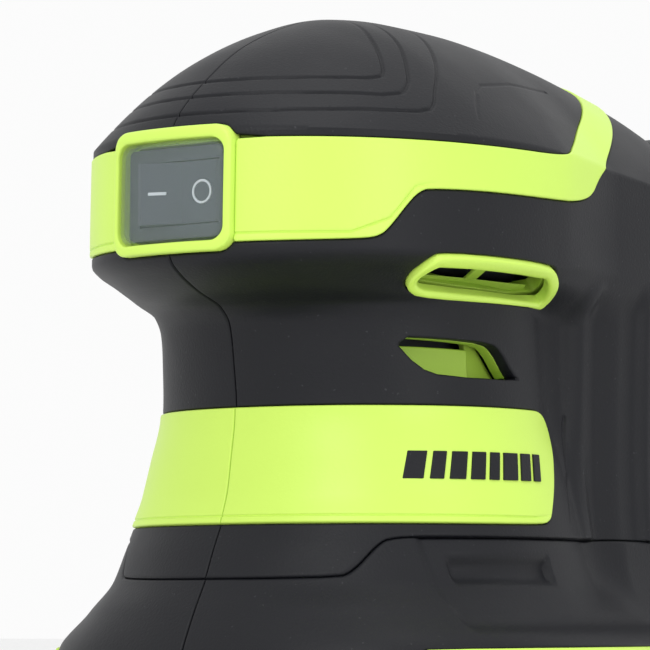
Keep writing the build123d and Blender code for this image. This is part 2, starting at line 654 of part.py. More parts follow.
# fan on the shaft
with BuildPart() as fan:
    cyl(0, 0, 33.4, 34.6, FAN_R)
    cyl(0, 0, 26.0, 34.6, 8.0)
    with PolarLocations(18.0, 11):
        with Locations((0, 0, 30.2)):
            Box(20.0, 1.4, 8.0, rotation=(0, 0, 18))
    cyl(0, 0, 20, 40, SHAFT_R + 0.02, mode=Mode.SUBTRACT)
fan.part.label = "fan"
print("fan", [round(q.volume, 1) for q in fan.part.solids()], fan.part.bounding_box())
export_step(fan.part, "parts/fan.step")

# eccentric with counterweight below the fan
# counterweight: half disc opposite the offset pin
with BuildPart() as wt:
    cyl(0, 0, 20.0, 25.6, 20.0)
    blk(-30, 3, -30, 30, 10, 30, mode=Mode.SUBTRACT)
    blk(-30, 30, 14, 30, 10, 30, mode=Mode.SUBTRACT)
    blk(-30, 30, -30, -14, 10, 30, mode=Mode.SUBTRACT)

with BuildPart() as eccentric:
    cyl(0, 0, 17.8, 25.8, 8.0)
    add(wt.part)
    cyl(-ECC, 0, 9.6, 17.8, 3.98)
    cyl(0, 0, 17.0, 30, SHAFT_R + 0.02, mode=Mode.SUBTRACT)
    cyl(-ECC, 0, 8, 16.0, 1.7, mode=Mode.SUBTRACT)
eccentric.part.label = "eccentric"
print("eccentric", [round(q.volume, 1) for q in eccentric.part.solids()])
export_step(eccentric.part, "parts/eccentric.step")

with BuildPart() as eccentric_screw:
    cyl(-ECC, 0, 9.45, 15.8, 1.65)
    cyl(-ECC, 0, 6.8, 9.45, 5.0)
    with BuildSketch(Plane.XY.offset(6.8)):
        with Locations((-ECC, 0)):
            RegularPolygon(2.0, 6)
    extrude(amount=1.6, mode=Mode.SUBTRACT)
eccentric_screw.part.label = "eccentric_screw"
export_step(eccentric_screw.part, "parts/eccentric_screw.step")

# ---------------------------------------------------------------- pad
PAD = [(0, -89), (12, -83.5), (26, -66), (37, -44), (44.5, -20), (48.6, 4), (49.2, 24), (45, 42), (31, 54), (0, 58)]


def pad_half(inset):
    out = []
    for i, (x, y) in enumerate(PAD):
        cx, cy = 0, -5
        l = math.hypot(x - cx, y - cy)
        out.append((x - inset * (x - cx) / l if i not in (0, len(PAD) - 1) else 0.0, y - inset * (y - cy) / l))
    return out


def pad_prism(z0, z1, inset):
    pts = pad_half(inset)
    with BuildPart(mode=Mode.PRIVATE) as p:
        with BuildSketch(Plane.XY.offset(z0)):
            with BuildLine():
                Spline(*pts, tangents=[(1, 0), (-1, 0)])
                Spline(*[(-x, y) for x, y in reversed(pts)], tangents=[(-1, 0), (1, 0)])
            make_face()
        extrude(amount=z1 - z0)
    return p.part


# mouse-shaped frame that closes the housing round the fan and carries the nose
FRAME_Z0, FRAME_Z1 = 19.6, 27.2
FRAME_STEPS = pad_prism(FRAME_Z0, FRAME_Z1 - 2.4, 0.0)
for rise, inset in ((1.6, 0.35), (0.9, 0.9), (0.4, 1.6), (0.0, 2.5)):
    FRAME_STEPS = FRAME_STEPS + pad_prism(FRAME_Z0 + 1, FRAME_Z1 - rise, inset)
with BuildPart() as base_frame:
    add(FRAME_STEPS)
    add(pad_prism(FRAME_Z0 - 1, FRAME_Z1 - 2.2, 2.6), mode=Mode.SUBTRACT)
    with BuildSketch(Plane.XY.offset(FRAME_Z1 - 6)):
        with Locations((0, 4)):
            RectangleRounded(82, 84, 30)
    extrude(amount=10, mode=Mode.SUBTRACT)
    cyly(0, DUCT_Z, 40, 80, 12.8, mode=Mode.SUBTRACT)
    blk(-11.4, 11.4, 40, 50.6, FRAME_Z1 - 2.6, 40, mode=Mode.SUBTRACT)
    for x, y in LEGS:
        cyl(x, y, FRAME_Z0 - 2, FRAME_Z1 + 2, 8.6, mode=Mode.SUBTRACT)
base_frame.part.label = "base_frame"
print("base_frame", [round(q.volume, 1) for q in base_frame.part.solids()])
export_step(base_frame.part, "parts/base_frame.step")

DUST_HOLES = [(0, -66), (-20, -38), (20, -38), (-30, 2), (30, 2), (-24, 36), (24, 36)]
TIP_LINE = -44.0

with BuildPart() as pad_bearing:
    cyl(-ECC, 0, 9.7, 16.7, 11.0)
    cyl(-ECC, 0, 9, 18, 4.0 + 0.04, mode=Mode.SUBTRACT)
pad_bearing.part.label = "pad_bearing"
export_step(pad_bearing.part, "parts/pad_bearing.step")

with BuildPart() as platen:
    add(pad_prism(8.6, 11.4, 2.0))
    add(pad_prism(8.6, 15.0, 2.0) - pad_prism(7, 16, 4.4))
    cyl(-ECC, 0, 8.6, 17.4, 14.0)
    for a in range(0, 360, 45):
        with Locations(Location((0, 0, 11.4), (0, 0, a + 22.5))):
            with Locations((23, 0, 0)):
                Box(22, 1.6, 3.2, align=CCM)
    for x, y in LEGS:
        cyl(x, y, 11.0, 16.0, 7.2)
    add(pad_prism(7, 20, 2.0), mode=Mode.INTERSECT)
    cyl(-ECC, 0, 9.65, 18, 11.05, mode=Mode.SUBTRACT)
    cyl(-ECC, 0, 5, 18, 9.0, mode=Mode.SUBTRACT)
    for x, y in LEGS:
        cyl(x, y, 12.5, 18, 5.1, mode=Mode.SUBTRACT)
        cyl(x, y, 5, 18, 2.2, mode=Mode.SUBTRACT)
    for x, y in DUST_HOLES:
        cyl(x, y, 5, 18, 4.2, mode=Mode.SUBTRACT)
platen.part.label = "platen"
print("platen", [round(q.volume, 1) for q in platen.part.solids()])
export_step(platen.part, "parts/platen.step")

with BuildPart() as pad_foam:
    add(pad_prism(2.4, 8.55, 0.8))
    cyl(-ECC, 0, 0, 10, 9.0, mode=Mode.SUBTRACT)
    for x, y in DUST_HOLES:
        cyl(x, y, 0, 10, 4.2, mode=Mode.SUBTRACT)
    for x, y in LEGS:
        cyl(x, y, 5.0, 10, 4.0, mode=Mode.SUBTRACT)
pad_foam.part.label = "pad_foam"
export_step(pad_foam.part, "parts/pad_foam.step")

with BuildPart() as hook_layer:
    add(pad_prism(1.05, 2.35, 0.5))
    cyl(-ECC, 0, 0, 10, 9.0, mode=Mode.SUBTRACT)
    for x, y in DUST_HOLES:
        cyl(x, y, 0, 10, 4.0, mode=Mode.SUBTRACT)
hook_layer.part.label = "hook_layer"
export_step(hook_layer.part, "parts/hook_layer.step")

with BuildPart() as sheet:
    add(pad_prism(0, 1.0, 0.0))
    for x, y in DUST_HOLES:
        cyl(x, y, -1, 10, 4.0, mode=Mode.SUBTRACT)
with BuildPart() as sanding_sheet:
    add(sheet.part)
    blk(-80, 80, -120, TIP_LINE + 0.25, -1, 3, mode=Mode.SUBTRACT)
sanding_sheet.part.label = "sanding_sheet"
export_step(sanding_sheet.part, "parts/sanding_sheet.step")
with BuildPart() as tip_sheet:
    add(sheet.part)
    blk(-80, 80, TIP_LINE - 0.25, 120, -1, 3, mode=Mode.SUBTRACT)
tip_sheet.part.label = "tip_sheet"
export_step(tip_sheet.part, "parts/tip_sheet.step")

with BuildPart() as pad_legs:
    for x, y in LEGS:
        cyl(x, y, 12.6, 33.0, 5.0)
        cyl(x, y, 12.0, 19.0, 1.62, mode=Mode.SUBTRACT)
pad_legs.part.label = "pad_legs"
export_step(pad_legs.part, "parts/pad_legs.step")

with BuildPart() as leg_screws:
    for x, y in LEGS:
        cyl(x, y, 8.5, 18.0, 1.6)
        cyl(x, y, 6.2, 8.5, 3.4)
leg_screws.part.label = "leg_screws"
export_step(leg_screws.part, "parts/leg_screws.step")

# ---------------------------------------------------------------- electronics
with BuildPart() as control_board:
    blk(-23.6, 23.6, BOARD_Y - 0.8, BOARD_Y + 0.8, 70, 110)
control_board.part.label = "control_board"
export_step(control_board.part, "parts/control_board.step")

with BuildPart() as board_parts:
    blk(-17, -7, BOARD_Y + 0.85, BOARD_Y + 3.2, 98, 108)
    blk(5, 19, BOARD_Y + 0.85, BOARD_Y + 4.5, 94, 108)
    cyly(-12, 82, BOARD_Y + 0.85, BOARD_Y + 10, 5.0)
    cyly(0, 80, BOARD_Y + 0.85, BOARD_Y + 8, 4.0)
    blk(8, 18, BOARD_Y + 0.85, BOARD_Y + 3.0, 76, 84)
    blk(-2.5, 2.5, BOARD_Y + 0.85, BOARD_Y + 2.4, 88, 92)
board_parts.part.label = "board_parts"
export_step(board_parts.part, "parts/board_parts.step")

with BuildPart() as battery_rail:
    blk(-25.6, 25.6, 62.2, 66.0, 54.3, 113.7)
    blk(-28.1, 28.1, 60.4, 63.6, 52.4, 115.6)
    for s in (1, -1):
        xs = (17.0, 19.0) if s > 0 else (-19.0, -17.0)
        xl = (17.0, 22.0) if s > 0 else (-22.0, -17.0)
        blk(xs[0], xs[1], 66.0, 70.4, 58, 110)
        blk(xl[0], xl[1], 68.4, 70.4, 58, 110)
    blk(-13, 13, 66.0, 70.5, 58, 68)
    for x in (-9, -3, 3, 9):
        blk(x - 0.5, x + 0.5, 64.0, 69.5, 60, 78.2, mode=Mode.SUBTRACT)
battery_rail.part.label = "battery_rail"
print("rail", [round(q.volume, 1) for q in battery_rail.part.solids()])
export_step(battery_rail.part, "parts/battery_rail.step")

with BuildPart() as housing_terminals:
    for x in (-9, -3, 3, 9):
        blk(x - 0.4, x + 0.4, 64.1, 69.3, 60.1, 78.0)
housing_terminals.part.label = "housing_terminals"
export_step(housing_terminals.part, "parts/housing_terminals.step")

# ---------------------------------------------------------------- battery
BX0, BX1, BY0, BY1, BZ0, BZ1 = BAT
SEAM_Y = 74.0


def bat_solid(d, y0, y1):
    """rounded pack body, d is the inset"""
    with BuildPart(mode=Mode.PRIVATE) as p:
        with BuildSketch(Plane.XY.offset(BZ0 + d)):
            with Locations((0, (BY0 + BY1) / 2)):
                RectangleRounded(BX1 - BX0 - 2 * d, BY1 - BY0 - 2 * d, 9 - d)
        extrude(amount=BZ1 - BZ0 - 2 * d)
        es = p.edges().filter_by(lambda e: abs(e.center().Z - (BZ1 - d)) < 0.1)
        fillet(es, 5 - d * 0.8)
        es = p.edges().filter_by(lambda e: abs(e.center().Z - (BZ0 + d)) < 0.1)
        fillet(es, 3 - d * 0.8)
        blk(-60, 60, y0, y1, 0, 200, mode=Mode.INTERSECT)
    return p.part


with BuildPart() as battery_front:
    add(bat_solid(0.0, 60, SEAM_Y))
    add(bat_solid(2.2, SEAM_Y - 0.2 - 1.6, SEAM_Y + 1), mode=Mode.SUBTRACT)
    # channel for the rails, open at the bottom
    blk(-22.5, 22.5, 60, 70.95, 40, 110.6, mode=Mode.SUBTRACT)
with BuildPart() as lips:
    for s in (1, -1):
        x0, x1 = (19.45, 22.8) if s > 0 else (-22.8, -19.45)
        blk(x0, x1, BY0, 67.95, BZ0 + 4, 110.6)
with BuildPart() as battery_case_front:
    add(battery_front.part)
    add(lips.part)
battery_case_front.part.label = "battery_case_front"
print("bat front", [round(q.volume, 1) for q in battery_case_front.part.solids()])
export_step(battery_case_front.part, "parts/battery_case_front.step")

with BuildPart() as battery_case_rear:
    add(bat_solid(0.0, SEAM_Y + 0.05, 200))
    add(bat_solid(2.2, SEAM_Y - 1, 200), mode=Mode.SUBTRACT)
    blk(-15.3, 15.3, 116, 125, 111.7, 124.3, mode=Mode.SUBTRACT)
battery_case_rear.part.label = "battery_case_rear"
print("bat rear", [round(q.volume, 1) for q in battery_case_rear.part.solids()])
export_step(battery_case_rear.part, "parts/battery_case_rear.step")

with BuildPart() as battery_cells:
    for ix in (-18.6, 0, 18.6):
        for iy in (86.2, 104.8):
            cyl(ix, iy, 55.5, 120.5, 9.1)
battery_cells.part.label = "battery_cells"
export_step(battery_cells.part, "parts/battery_cells.step")

with BuildPart() as latch_button:
    blk(-15, 15, 117.5, 122.6, 112.0, 124.0)
    fillet(latch_button.edges().filter_by(Axis.Y), 1.5)
    for z in (114.5, 118, 121.5):
        blk(-9, 9, 122.1, 123, z - 0.6, z + 0.6, mode=Mode.SUBTRACT)
latch_button.part.label = "latch_button"
export_step(latch_button.part, "parts/latch_button.step")

# ---------------------------------------------------------------- dust box
DX0, DX1, DY0, DY1, DZ0, DZ1 = DB
LID_Y = 113.0


def box_solid(d, y0, y1):
    with BuildPart(mode=Mode.PRIVATE) as p:
        with BuildSketch(Plane.XZ):
            with Locations((0, (DZ0 + DZ1) / 2)):
                RectangleRounded(DX1 - DX0 - 2 * d, DZ1 - DZ0 - 2 * d, 7 - d)
        extrude(amount=-200)
        blk(-60, 60, y0, y1, 0, 200, mode=Mode.INTERSECT)
    return p.part


with BuildPart() as dust_box_shell:
    add(box_solid(0.0, DY0, LID_Y))
    add(box_solid(2.0, DY0 + 2.0, LID_Y + 5), mode=Mode.SUBTRACT)
    cyly(0, DUCT_Z, 60, 80, 12.3, mode=Mode.SUBTRACT)
    # hinge knuckles under the lid edge
    for x0, x1 in ((-20, -12), (12, 20)):
        cylx(LID_Y - 2.0, DZ0 - 2.6, x0, x1, 2.2)
        blk(x0, x1, LID_Y - 4.2, LID_Y - 0.2, DZ0 - 2.6, DZ0 + 1.0)
    cylx(LID_Y - 2.0, DZ0 - 2.6, -30, 30, 1.05, mode=Mode.SUBTRACT)
dust_box_shell.part.label = "dust_box_shell"
print("dust shell", [round(q.volume, 1) for q in dust_box_shell.part.solids()])
export_step(dust_box_shell.part, "parts/dust_box_shell.step")

with BuildPart() as dust_box_lid:
    add(box_solid(0.0, LID_Y + 0.3, DY1))
    add(box_solid(2.0, LID_Y - 1, DY1 - 2), mode=Mode.SUBTRACT)
    blk(-11.6, 11.6, LID_Y - 2.0, LID_Y + 2.0, DZ0 - 4.8, DZ0 - 2.6)
    blk(-11.6, 11.6, LID_Y + 0.3, LID_Y + 2.0, DZ0 - 4.8, DZ0 + 4)
    cylx(LID_Y - 2.0, DZ0 - 2.6, -11.6, 11.6, 2.2)
    cylx(LID_Y - 2.0, DZ0 - 2.6, -30, 30, 1.05, mode=Mode.SUBTRACT)
dust_box_lid.part.label = "dust_box_lid"
print("dust lid", [round(q.volume, 1) for q in dust_box_lid.part.solids()])
export_step(dust_box_lid.part, "parts/dust_box_lid.step")

with BuildPart() as lid_pin:
    cylx(LID_Y - 2.0, DZ0 - 2.6, -19.8, 19.8, 1.0)
lid_pin.part.label = "lid_pin"
export_step(lid_pin.part, "parts/lid_pin.step")

with BuildPart() as dust_filter:
    blk(-30, 30, 104.0, 107.0, 23.5, 45.5)
    for i in range(-9, 10):
        blk(i * 3 - 0.5, i * 3 + 0.5, 103.0, 105.0, 25, 44, mode=Mode.SUBTRACT)
dust_filter.part.label = "dust_filter"
export_step(dust_filter.part, "parts/dust_filter.step")

# ---------------------------------------------------------------- wiring inside the housing
def wire(pts, r=1.1):
    with BuildPart(mode=Mode.PRIVATE) as p:
        with BuildLine() as ln:
            Spline(*pts)
        with BuildSketch(Plane(origin=ln.line @ 0, z_dir=ln.line % 0)):
            Circle(r)
        sweep()
    return p.part


with BuildPart() as wiring:
    add(wire([(-4.4, -19.3, 111.5), (-6, -12, 116), (-8, 10, 117), (-9, 34, 115), (-9, 43.4, 111.6)]))
    add(wire([(4.4, -19.3, 111.5), (6, -12, 116), (8, 10, 117), (9, 34, 115), (9, 43.4, 111.6)]))
    add(wire([(18, 5, 104.4), (20, 16, 110), (18, 34, 111), (16, 43.4, 111.4)]))
    add(wire([(-18, 5, 104.4), (-20, 16, 110), (-18, 34, 111), (-16, 43.4, 111.4)]))
    add(wire([(-9, 60.0, 72), (-9, 55, 72.6), (-8, 50, 72.6), (-8, 47.3, 72.6)]))
    add(wire([(9, 60.0, 72), (9, 55, 72.6), (8, 50, 72.6), (8, 47.3, 72.6)]))
wiring.part.label = "wiring"
export_step(wiring.part, "parts/wiring.step")
print("done")
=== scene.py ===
import bpy, bmesh, math, json
import numpy as np
from mathutils import Vector, Matrix


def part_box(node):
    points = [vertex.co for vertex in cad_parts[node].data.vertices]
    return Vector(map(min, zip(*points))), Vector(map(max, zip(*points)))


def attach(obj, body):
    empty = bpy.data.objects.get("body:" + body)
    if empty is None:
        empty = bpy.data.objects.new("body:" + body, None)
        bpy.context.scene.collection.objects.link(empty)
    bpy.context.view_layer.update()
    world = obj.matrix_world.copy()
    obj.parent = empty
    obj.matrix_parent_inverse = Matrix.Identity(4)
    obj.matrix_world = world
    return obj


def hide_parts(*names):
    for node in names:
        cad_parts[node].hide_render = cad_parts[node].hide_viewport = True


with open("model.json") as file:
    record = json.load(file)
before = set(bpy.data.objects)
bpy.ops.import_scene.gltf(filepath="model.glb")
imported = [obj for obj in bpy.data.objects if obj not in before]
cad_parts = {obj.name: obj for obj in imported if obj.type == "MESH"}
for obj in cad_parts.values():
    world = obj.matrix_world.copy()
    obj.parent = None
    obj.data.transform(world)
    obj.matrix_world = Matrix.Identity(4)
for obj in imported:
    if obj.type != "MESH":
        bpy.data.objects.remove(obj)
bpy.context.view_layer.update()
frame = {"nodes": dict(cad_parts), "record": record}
MM = 0.001

# ------------------------------------------------------------------ materials
def srgb(r, g, b):
    f = lambda c: (c / 255 / 12.92) if c / 255 <= 0.04045 else ((c / 255 + 0.055) / 1.055) ** 2.4
    return (f(r), f(g), f(b), 1.0)


def mat(name, col, rough=0.5, metal=0.0, var=0.06, scale=60.0, bump=0.15, bump_scale=900.0, trans=0.0, alpha=1.0,
        coat=0.0, specks=0.0, ior=1.45, rvar=0.08, spec=0.5):
    m = bpy.data.materials.new(name)
    m.use_nodes = True
    nt = m.node_tree
    b = nt.nodes["Principled BSDF"]
    b.inputs["Metallic"].default_value = metal
    b.inputs["IOR"].default_value = ior
    b.inputs["Specular IOR Level"].default_value = spec
    if coat:
        b.inputs["Coat Weight"].default_value = coat
    if trans:
        b.inputs["Transmission Weight"].default_value = trans
    if alpha < 1:
        b.inputs["Alpha"].default_value = alpha
    tc = nt.nodes.new("ShaderNodeTexCoord")
    n1 = nt.nodes.new("ShaderNodeTexNoise")
    n1.inputs["Scale"].default_value = scale
    n1.inputs["Detail"].default_value = 4
    nt.links.new(tc.outputs["Object"], n1.inputs["Vector"])
    mix = nt.nodes.new("ShaderNodeMix")
    mix.data_type = "RGBA"
    lo = tuple(c * (1 - var) for c in col[:3]) + (1,)
    hi = tuple(min(c * (1 + var), 1) for c in col[:3]) + (1,)
    mix.inputs[6].default_value = lo
    mix.inputs[7].default_value = hi
    nt.links.new(n1.outputs["Fac"], mix.inputs[0])
    out = mix.outputs[2]
    if specks:
        n3 = nt.nodes.new("ShaderNodeTexNoise")
        n3.inputs["Scale"].default_value = 1500
        n3.inputs["Detail"].default_value = 1
        nt.links.new(tc.outputs["Object"], n3.inputs["Vector"])
        r = nt.nodes.new("ShaderNodeValToRGB")
        r.color_ramp.elements[0].position = 0.74
        r.color_ramp.elements[1].position = 0.80
        nt.links.new(n3.outputs["Fac"], r.inputs[0])
        mm = nt.nodes.new("ShaderNodeMath")
        mm.operation = "MULTIPLY"
        mm.inputs[1].default_value = specks
        nt.links.new(r.outputs[0], mm.inputs[0])
        mx = nt.nodes.new("ShaderNodeMix")
        mx.data_type = "RGBA"
        mx.inputs[7].default_value = tuple(min(c * 3 + 0.06, 1) for c in col[:3]) + (1,)
        nt.links.new(out, mx.inputs[6])
        nt.links.new(mm.outputs[0], mx.inputs[0])
        out = mx.outputs[2]
    nt.links.new(out, b.inputs["Base Color"])
    mr = nt.nodes.new("ShaderNodeMapRange")
    mr.inputs["To Min"].default_value = max(rough - rvar, 0.02)
    mr.inputs["To Max"].default_value = min(rough + rvar, 1.0)
    nt.links.new(n1.outputs["Fac"], mr.inputs["Value"])
    nt.links.new(mr.outputs[0], b.inputs["Roughness"])
    if bump:
        n2 = nt.nodes.new("ShaderNodeTexNoise")
        n2.inputs["Scale"].default_value = bump_scale
        n2.inputs["Detail"].default_value = 3
        nt.links.new(tc.outputs["Object"], n2.inputs["Vector"])
        bp = nt.nodes.new("ShaderNodeBump")
        bp.inputs["Strength"].default_value = bump
        bp.inputs["Distance"].default_value = 0.0002
        nt.links.new(n2.outputs["Fac"], bp.inputs["Height"])
        nt.links.new(bp.outputs[0], b.inputs["Normal"])
    return m


GREEN = mat("lime_plastic", srgb(193, 226, 92), 0.42, var=0.03, bump=0.12, bump_scale=1500, specks=0.05)
# darker copy of the lime plastic: painted shade for the shell, the green CAD solids and the fins inside the vents
GREEN_PAINTED_SHADE = mat("lime_plastic_painted_shade", srgb(150, 182, 60), 0.55, var=0.05, bump=0.1)
RUBBER = mat("black_rubber", srgb(17, 18, 23), 0.5, var=0.10, bump=0.3, bump_scale=2200, specks=0.30, spec=0.30)
BLACK = mat("black_plastic", srgb(30, 31, 35), 0.45, var=0.08, bump=0.2, bump_scale=1600, specks=0.1)
SWITCH = mat("switch_plastic", srgb(60, 62, 76), 0.3, var=0.05, bump=0.08)
MARK = mat("mark_white", srgb(205, 210, 220), 0.5, var=0.03, bump=0.05)
CLEAR = mat("clear_cover", srgb(150, 166, 160), 0.07, var=0.03, bump=0.03, bump_scale=300, alpha=0.13, rvar=0.03, spec=0.6)
STEEL = mat("steel", srgb(190, 190, 192), 0.28, metal=1, var=0.04, bump=0.06, bump_scale=3000)
CAN = mat("zinc_can", srgb(150, 152, 155), 0.38, metal=1, var=0.05, bump=0.08)
MAGNET = mat("ferrite", srgb(58, 58, 60), 0.7, var=0.1, bump=0.2)
COPPER = mat("copper", srgb(196, 112, 66), 0.32, metal=1, var=0.07, bump=0.3, bump_scale=2400)
LAMIN = mat("lamination", srgb(128, 130, 134), 0.45, metal=0.8, var=0.08, bump=0.2)
BRASS = mat("brass_contact", srgb(212, 178, 96), 0.3, metal=1, var=0.04, bump=0.05)
GREY = mat("grey_plastic", srgb(84, 86, 90), 0.48, var=0.05, bump=0.15)
SMOKE = mat("smoke_plastic", srgb(46, 48, 52), 0.22, var=0.04, bump=0.04, coat=0.2)
PCB = mat("board_green", srgb(28, 92, 54), 0.4, var=0.08, bump=0.1)
CELL = mat("cell_wrap", srgb(44, 92, 150), 0.32, var=0.03, bump=0.05)
FOAM = mat("pad_foam", srgb(52, 53, 56), 0.92, var=0.2, bump=0.9, bump_scale=1400)
HOOK = mat("hook_fabric", srgb(74, 75, 78), 0.95, var=0.3, bump=1.0, bump_scale=2600)
GRIT = mat("abrasive", srgb(150, 74, 48), 0.9, var=0.35, scale=2500, bump=1.0, bump_scale=3600)
FILTER = mat("filter_paper", srgb(226, 224, 214), 0.9, var=0.06, bump=0.4, bump_scale=900)
# the green CAD solids take the darker painted-shade green
SLOTM = {"green_plastic": GREEN_PAINTED_SHADE, "black_rubber": RUBBER, "steel": STEEL, "black_plastic": BLACK, "clear_cover": CLEAR,
         "brass": BRASS, "can_steel": CAN, "magnet": MAGNET, "copper": COPPER, "lamination": LAMIN,
         "grey_plastic": GREY, "smoke_plastic": SMOKE, "board_green": PCB, "cell_wrap": CELL, "foam": FOAM,
         "hook_fabric": HOOK, "abrasive": GRIT, "filter_paper": FILTER}
rec = frame["record"]
node_slot = {s["node"]: s["material_slot"] for s in rec["subparts"]}
for n, o in frame["nodes"].items():
    o.data.materials.clear()
    o.data.materials.append(SWITCH if n in ("switch_housing", "rocker") else SLOTM[node_slot[n]])
for n in ("base_frame", "battery_case_front", "battery_case_rear", "dust_box_shell", "dust_box_lid", "latch_button",
          "platen", "motor_mount", "battery_rail", "switch_housing"):
    bv = frame["nodes"][n].modifiers.new("edge", "BEVEL")
    bv.width = 0.0004
    bv.segments = 2
    bv.limit_method = "ANGLE"
    bv.angle_limit = math.radians(50)
    bv.use_clamp_overlap = True

# ------------------------------------------------------------------ the body surface (mm)
ZK = [19, 24, 30, 37.2, 43.5, 48.6, 53.8, 58.4, 62.9, 68.7, 76.5, 84.9, 90.6, 93.5, 95.6, 98, 100, 101.5, 122]
AK = [54, 52, 49.3, 46.5, 43.5, 40.7, 38.4, 36.2, 34.6, 33.6, 32.6, 33.4, 34.4, 36.8, 42.2, 46.8, 49.3, 50.0, 49.6]
BK = [50.6, 50.8, 50.8, 49.8, 43.8, 40.6, 38.9, 37.6, 36.6, 35.0, 32.8, 32.2, 32.0, 32.0, 32.8, 35.0, 38.0, 39.5, 39.3]
NK = [2.3, 2.3, 2.35, 2.35, 2.3, 2.15, 2.15, 2.15, 2.1, 2.1, 2.1, 2.1, 2.1, 2.1, 2.15, 2.15, 2.15, 2.15, 2.15]
TZ = [19, 30, 37, 45, 52, 70, 92, 101, 122]
TW = [47, 47, 44, 39, 36.5, 35.5, 36.0, 36.6, 36.2]
RY = [-49.6, -47.6, -45.6, -43.8, -39, -35.1, -30.4, -20, -11.5, -3, 10, 21, 34, 45.5, 56, 62, 66]
RZ = [121.0, 124, 126.2, 127.9, 131.8, 134.7, 137.5, 141.9, 144.2, 144.8, 144.7, 144.1, 142.4, 140.1, 137.4, 134.0, 127.0]
EY = [-50, -30, 0, 20, 40, 66]
EZ = [121.0, 120.8, 120.4, 119.4, 117.5, 114.0]
YREAR = 66.0


def interp(z, zs, vs):
    zs = np.asarray(zs, float); vs = np.asarray(vs, float)
    h = np.diff(zs); d = np.diff(vs) / h
    m = np.zeros_like(vs); m[0] = d[0]; m[-1] = d[-1]
    for i in range(1, len(vs) - 1):
        if d[i - 1] * d[i] > 0:
            w1 = 2 * h[i] + h[i - 1]; w2 = h[i] + 2 * h[i - 1]
            m[i] = (w1 + w2) / (w1 / d[i - 1] + w2 / d[i])
    z = np.clip(np.asarray(z, float), zs[0], zs[-1])
    i = np.clip(np.searchsorted(zs, z, side="right") - 1, 0, len(h) - 1)
    t = (z - zs[i]) / h[i]
    return ((2 * t**3 - 3 * t**2 + 1) * vs[i] + (t**3 - 2 * t**2 + t) * h[i] * m[i]
            + (-2 * t**3 + 3 * t**2) * vs[i + 1] + (t**3 - t**2) * h[i] * m[i + 1])


def ring(al, z):
    a, b, n, tw = interp(z, ZK, AK), interp(z, ZK, BK), interp(z, ZK, NK), interp(z, TZ, TW)
    k = interp(z, [30, 43, 50, 92, 99, 104], [0, 0, 1, 1, 0.0, 0])
    sx, sy = np.sin(al), -np.cos(al)
    lo = np.full(al.shape, 1.0); hi = np.full(al.shape, 140.0)
    rc = 9.0
    for _ in range(34):
        r = (lo + hi) / 2
        x, y = r * sx, r * sy
        ay = np.where(y < 0, a, b)
        d1 = (((np.abs(x) / b) ** n + (np.abs(y) / ay) ** n) ** (1 / n) - 1) * np.minimum(ay, b)
        qx = np.abs(x) - (tw - rc); qy = np.abs(y - YREAR / 2) - (YREAR / 2 - rc)
        d2 = np.hypot(np.maximum(qx, 0), np.maximum(qy, 0)) + np.minimum(np.maximum(qx, qy), 0) - rc
        d2 = d2 + k * 6.5 * np.clip((30 - y) / 14, 0, 1.6) ** 1.5
        h = np.clip(0.5 + 0.5 * (d2 - d1) / 5.0, 0, 1)
        f = d2 * (1 - h) + d1 * h - 5.0 * h * (1 - h)
        lo = np.where(f < 0, r, lo); hi = np.where(f < 0, hi, r)
    return lo * sx, lo * sy


NA = 361
al = np.linspace(0, math.pi, NA)
Z0 = 27.35
zl = np.concatenate([np.linspace(Z0, 100, 150)])
nu = 40
nd = 100
rows = []
tx, ty = ring(al, np.full(al.shape, 121.0))
ztop = interp(ty, EY, EZ)
for z in zl:
    x, y = ring(al, np.full(al.shape, z))
    rows.append(np.stack([x, y, np.full(al.shape, z)], -1))
for t in np.linspace(0, 1, nu)[1:]:
    z = 100 + (ztop - 100) * t
    x, y = ring(al, z)
    rows.append(np.stack([x, y, z], -1))
lastx, lasty = rows[-1][:, 0].copy(), rows[-1][:, 1].copy()
o = np.argsort(lasty)
wy, wx = lasty[o], np.maximum(lastx[o], 0.4)


def half_w(y):
    return np.interp(y, wy, wx)


for q in np.linspace(0, 1, nd)[1:]:
    s = 1 - q
    x = lastx * s
    y = np.where(lasty < -6, -6 + (lasty + 6) * s, lasty)
    u = np.clip(np.abs(x) / half_w(y), 0, 1)
    if s == 0:
        u = u * 0
    ze, zr = interp(y, EY, EZ), interp(y, RY, RZ)
    rows.append(np.stack([x, y, ze + (zr - ze) * (1 - u ** 2)], -1))
G = np.array(rows)
G[:, 0, 0] = 0; G[:, -1, 0] = 0
du = np.gradient(G, axis=1); dv = np.gradient(G, axis=0)
NRM = np.cross(du, dv)
NRM /= np.linalg.norm(NRM, axis=-1, keepdims=True) + 1e-12
NRM[-1] = NRM[-3]
bad = np.linalg.norm(NRM, axis=-1) < 0.5
NRM[bad] = (0, 0, 1)
nr, nc = G.shape[:2]
GV = G.reshape(-1, 3); GN = NRM.reshape(-1, 3)
ii, jj = np.meshgrid(np.arange(nr - 1), np.arange(nc - 1), indexing="ij")
base = (ii * nc + jj).ravel()
GF = np.stack([base, base + 1, base + nc + 1, base + nc], -1)


def chaikin(pts, n=2):
    p = np.asarray(pts, float)
    for _ in range(n):
        q = np.roll(p, -1, 0)
        p = np.stack([0.75 * p + 0.25 * q, 0.25 * p + 0.75 * q], 1).reshape(-1, 2)
    return p


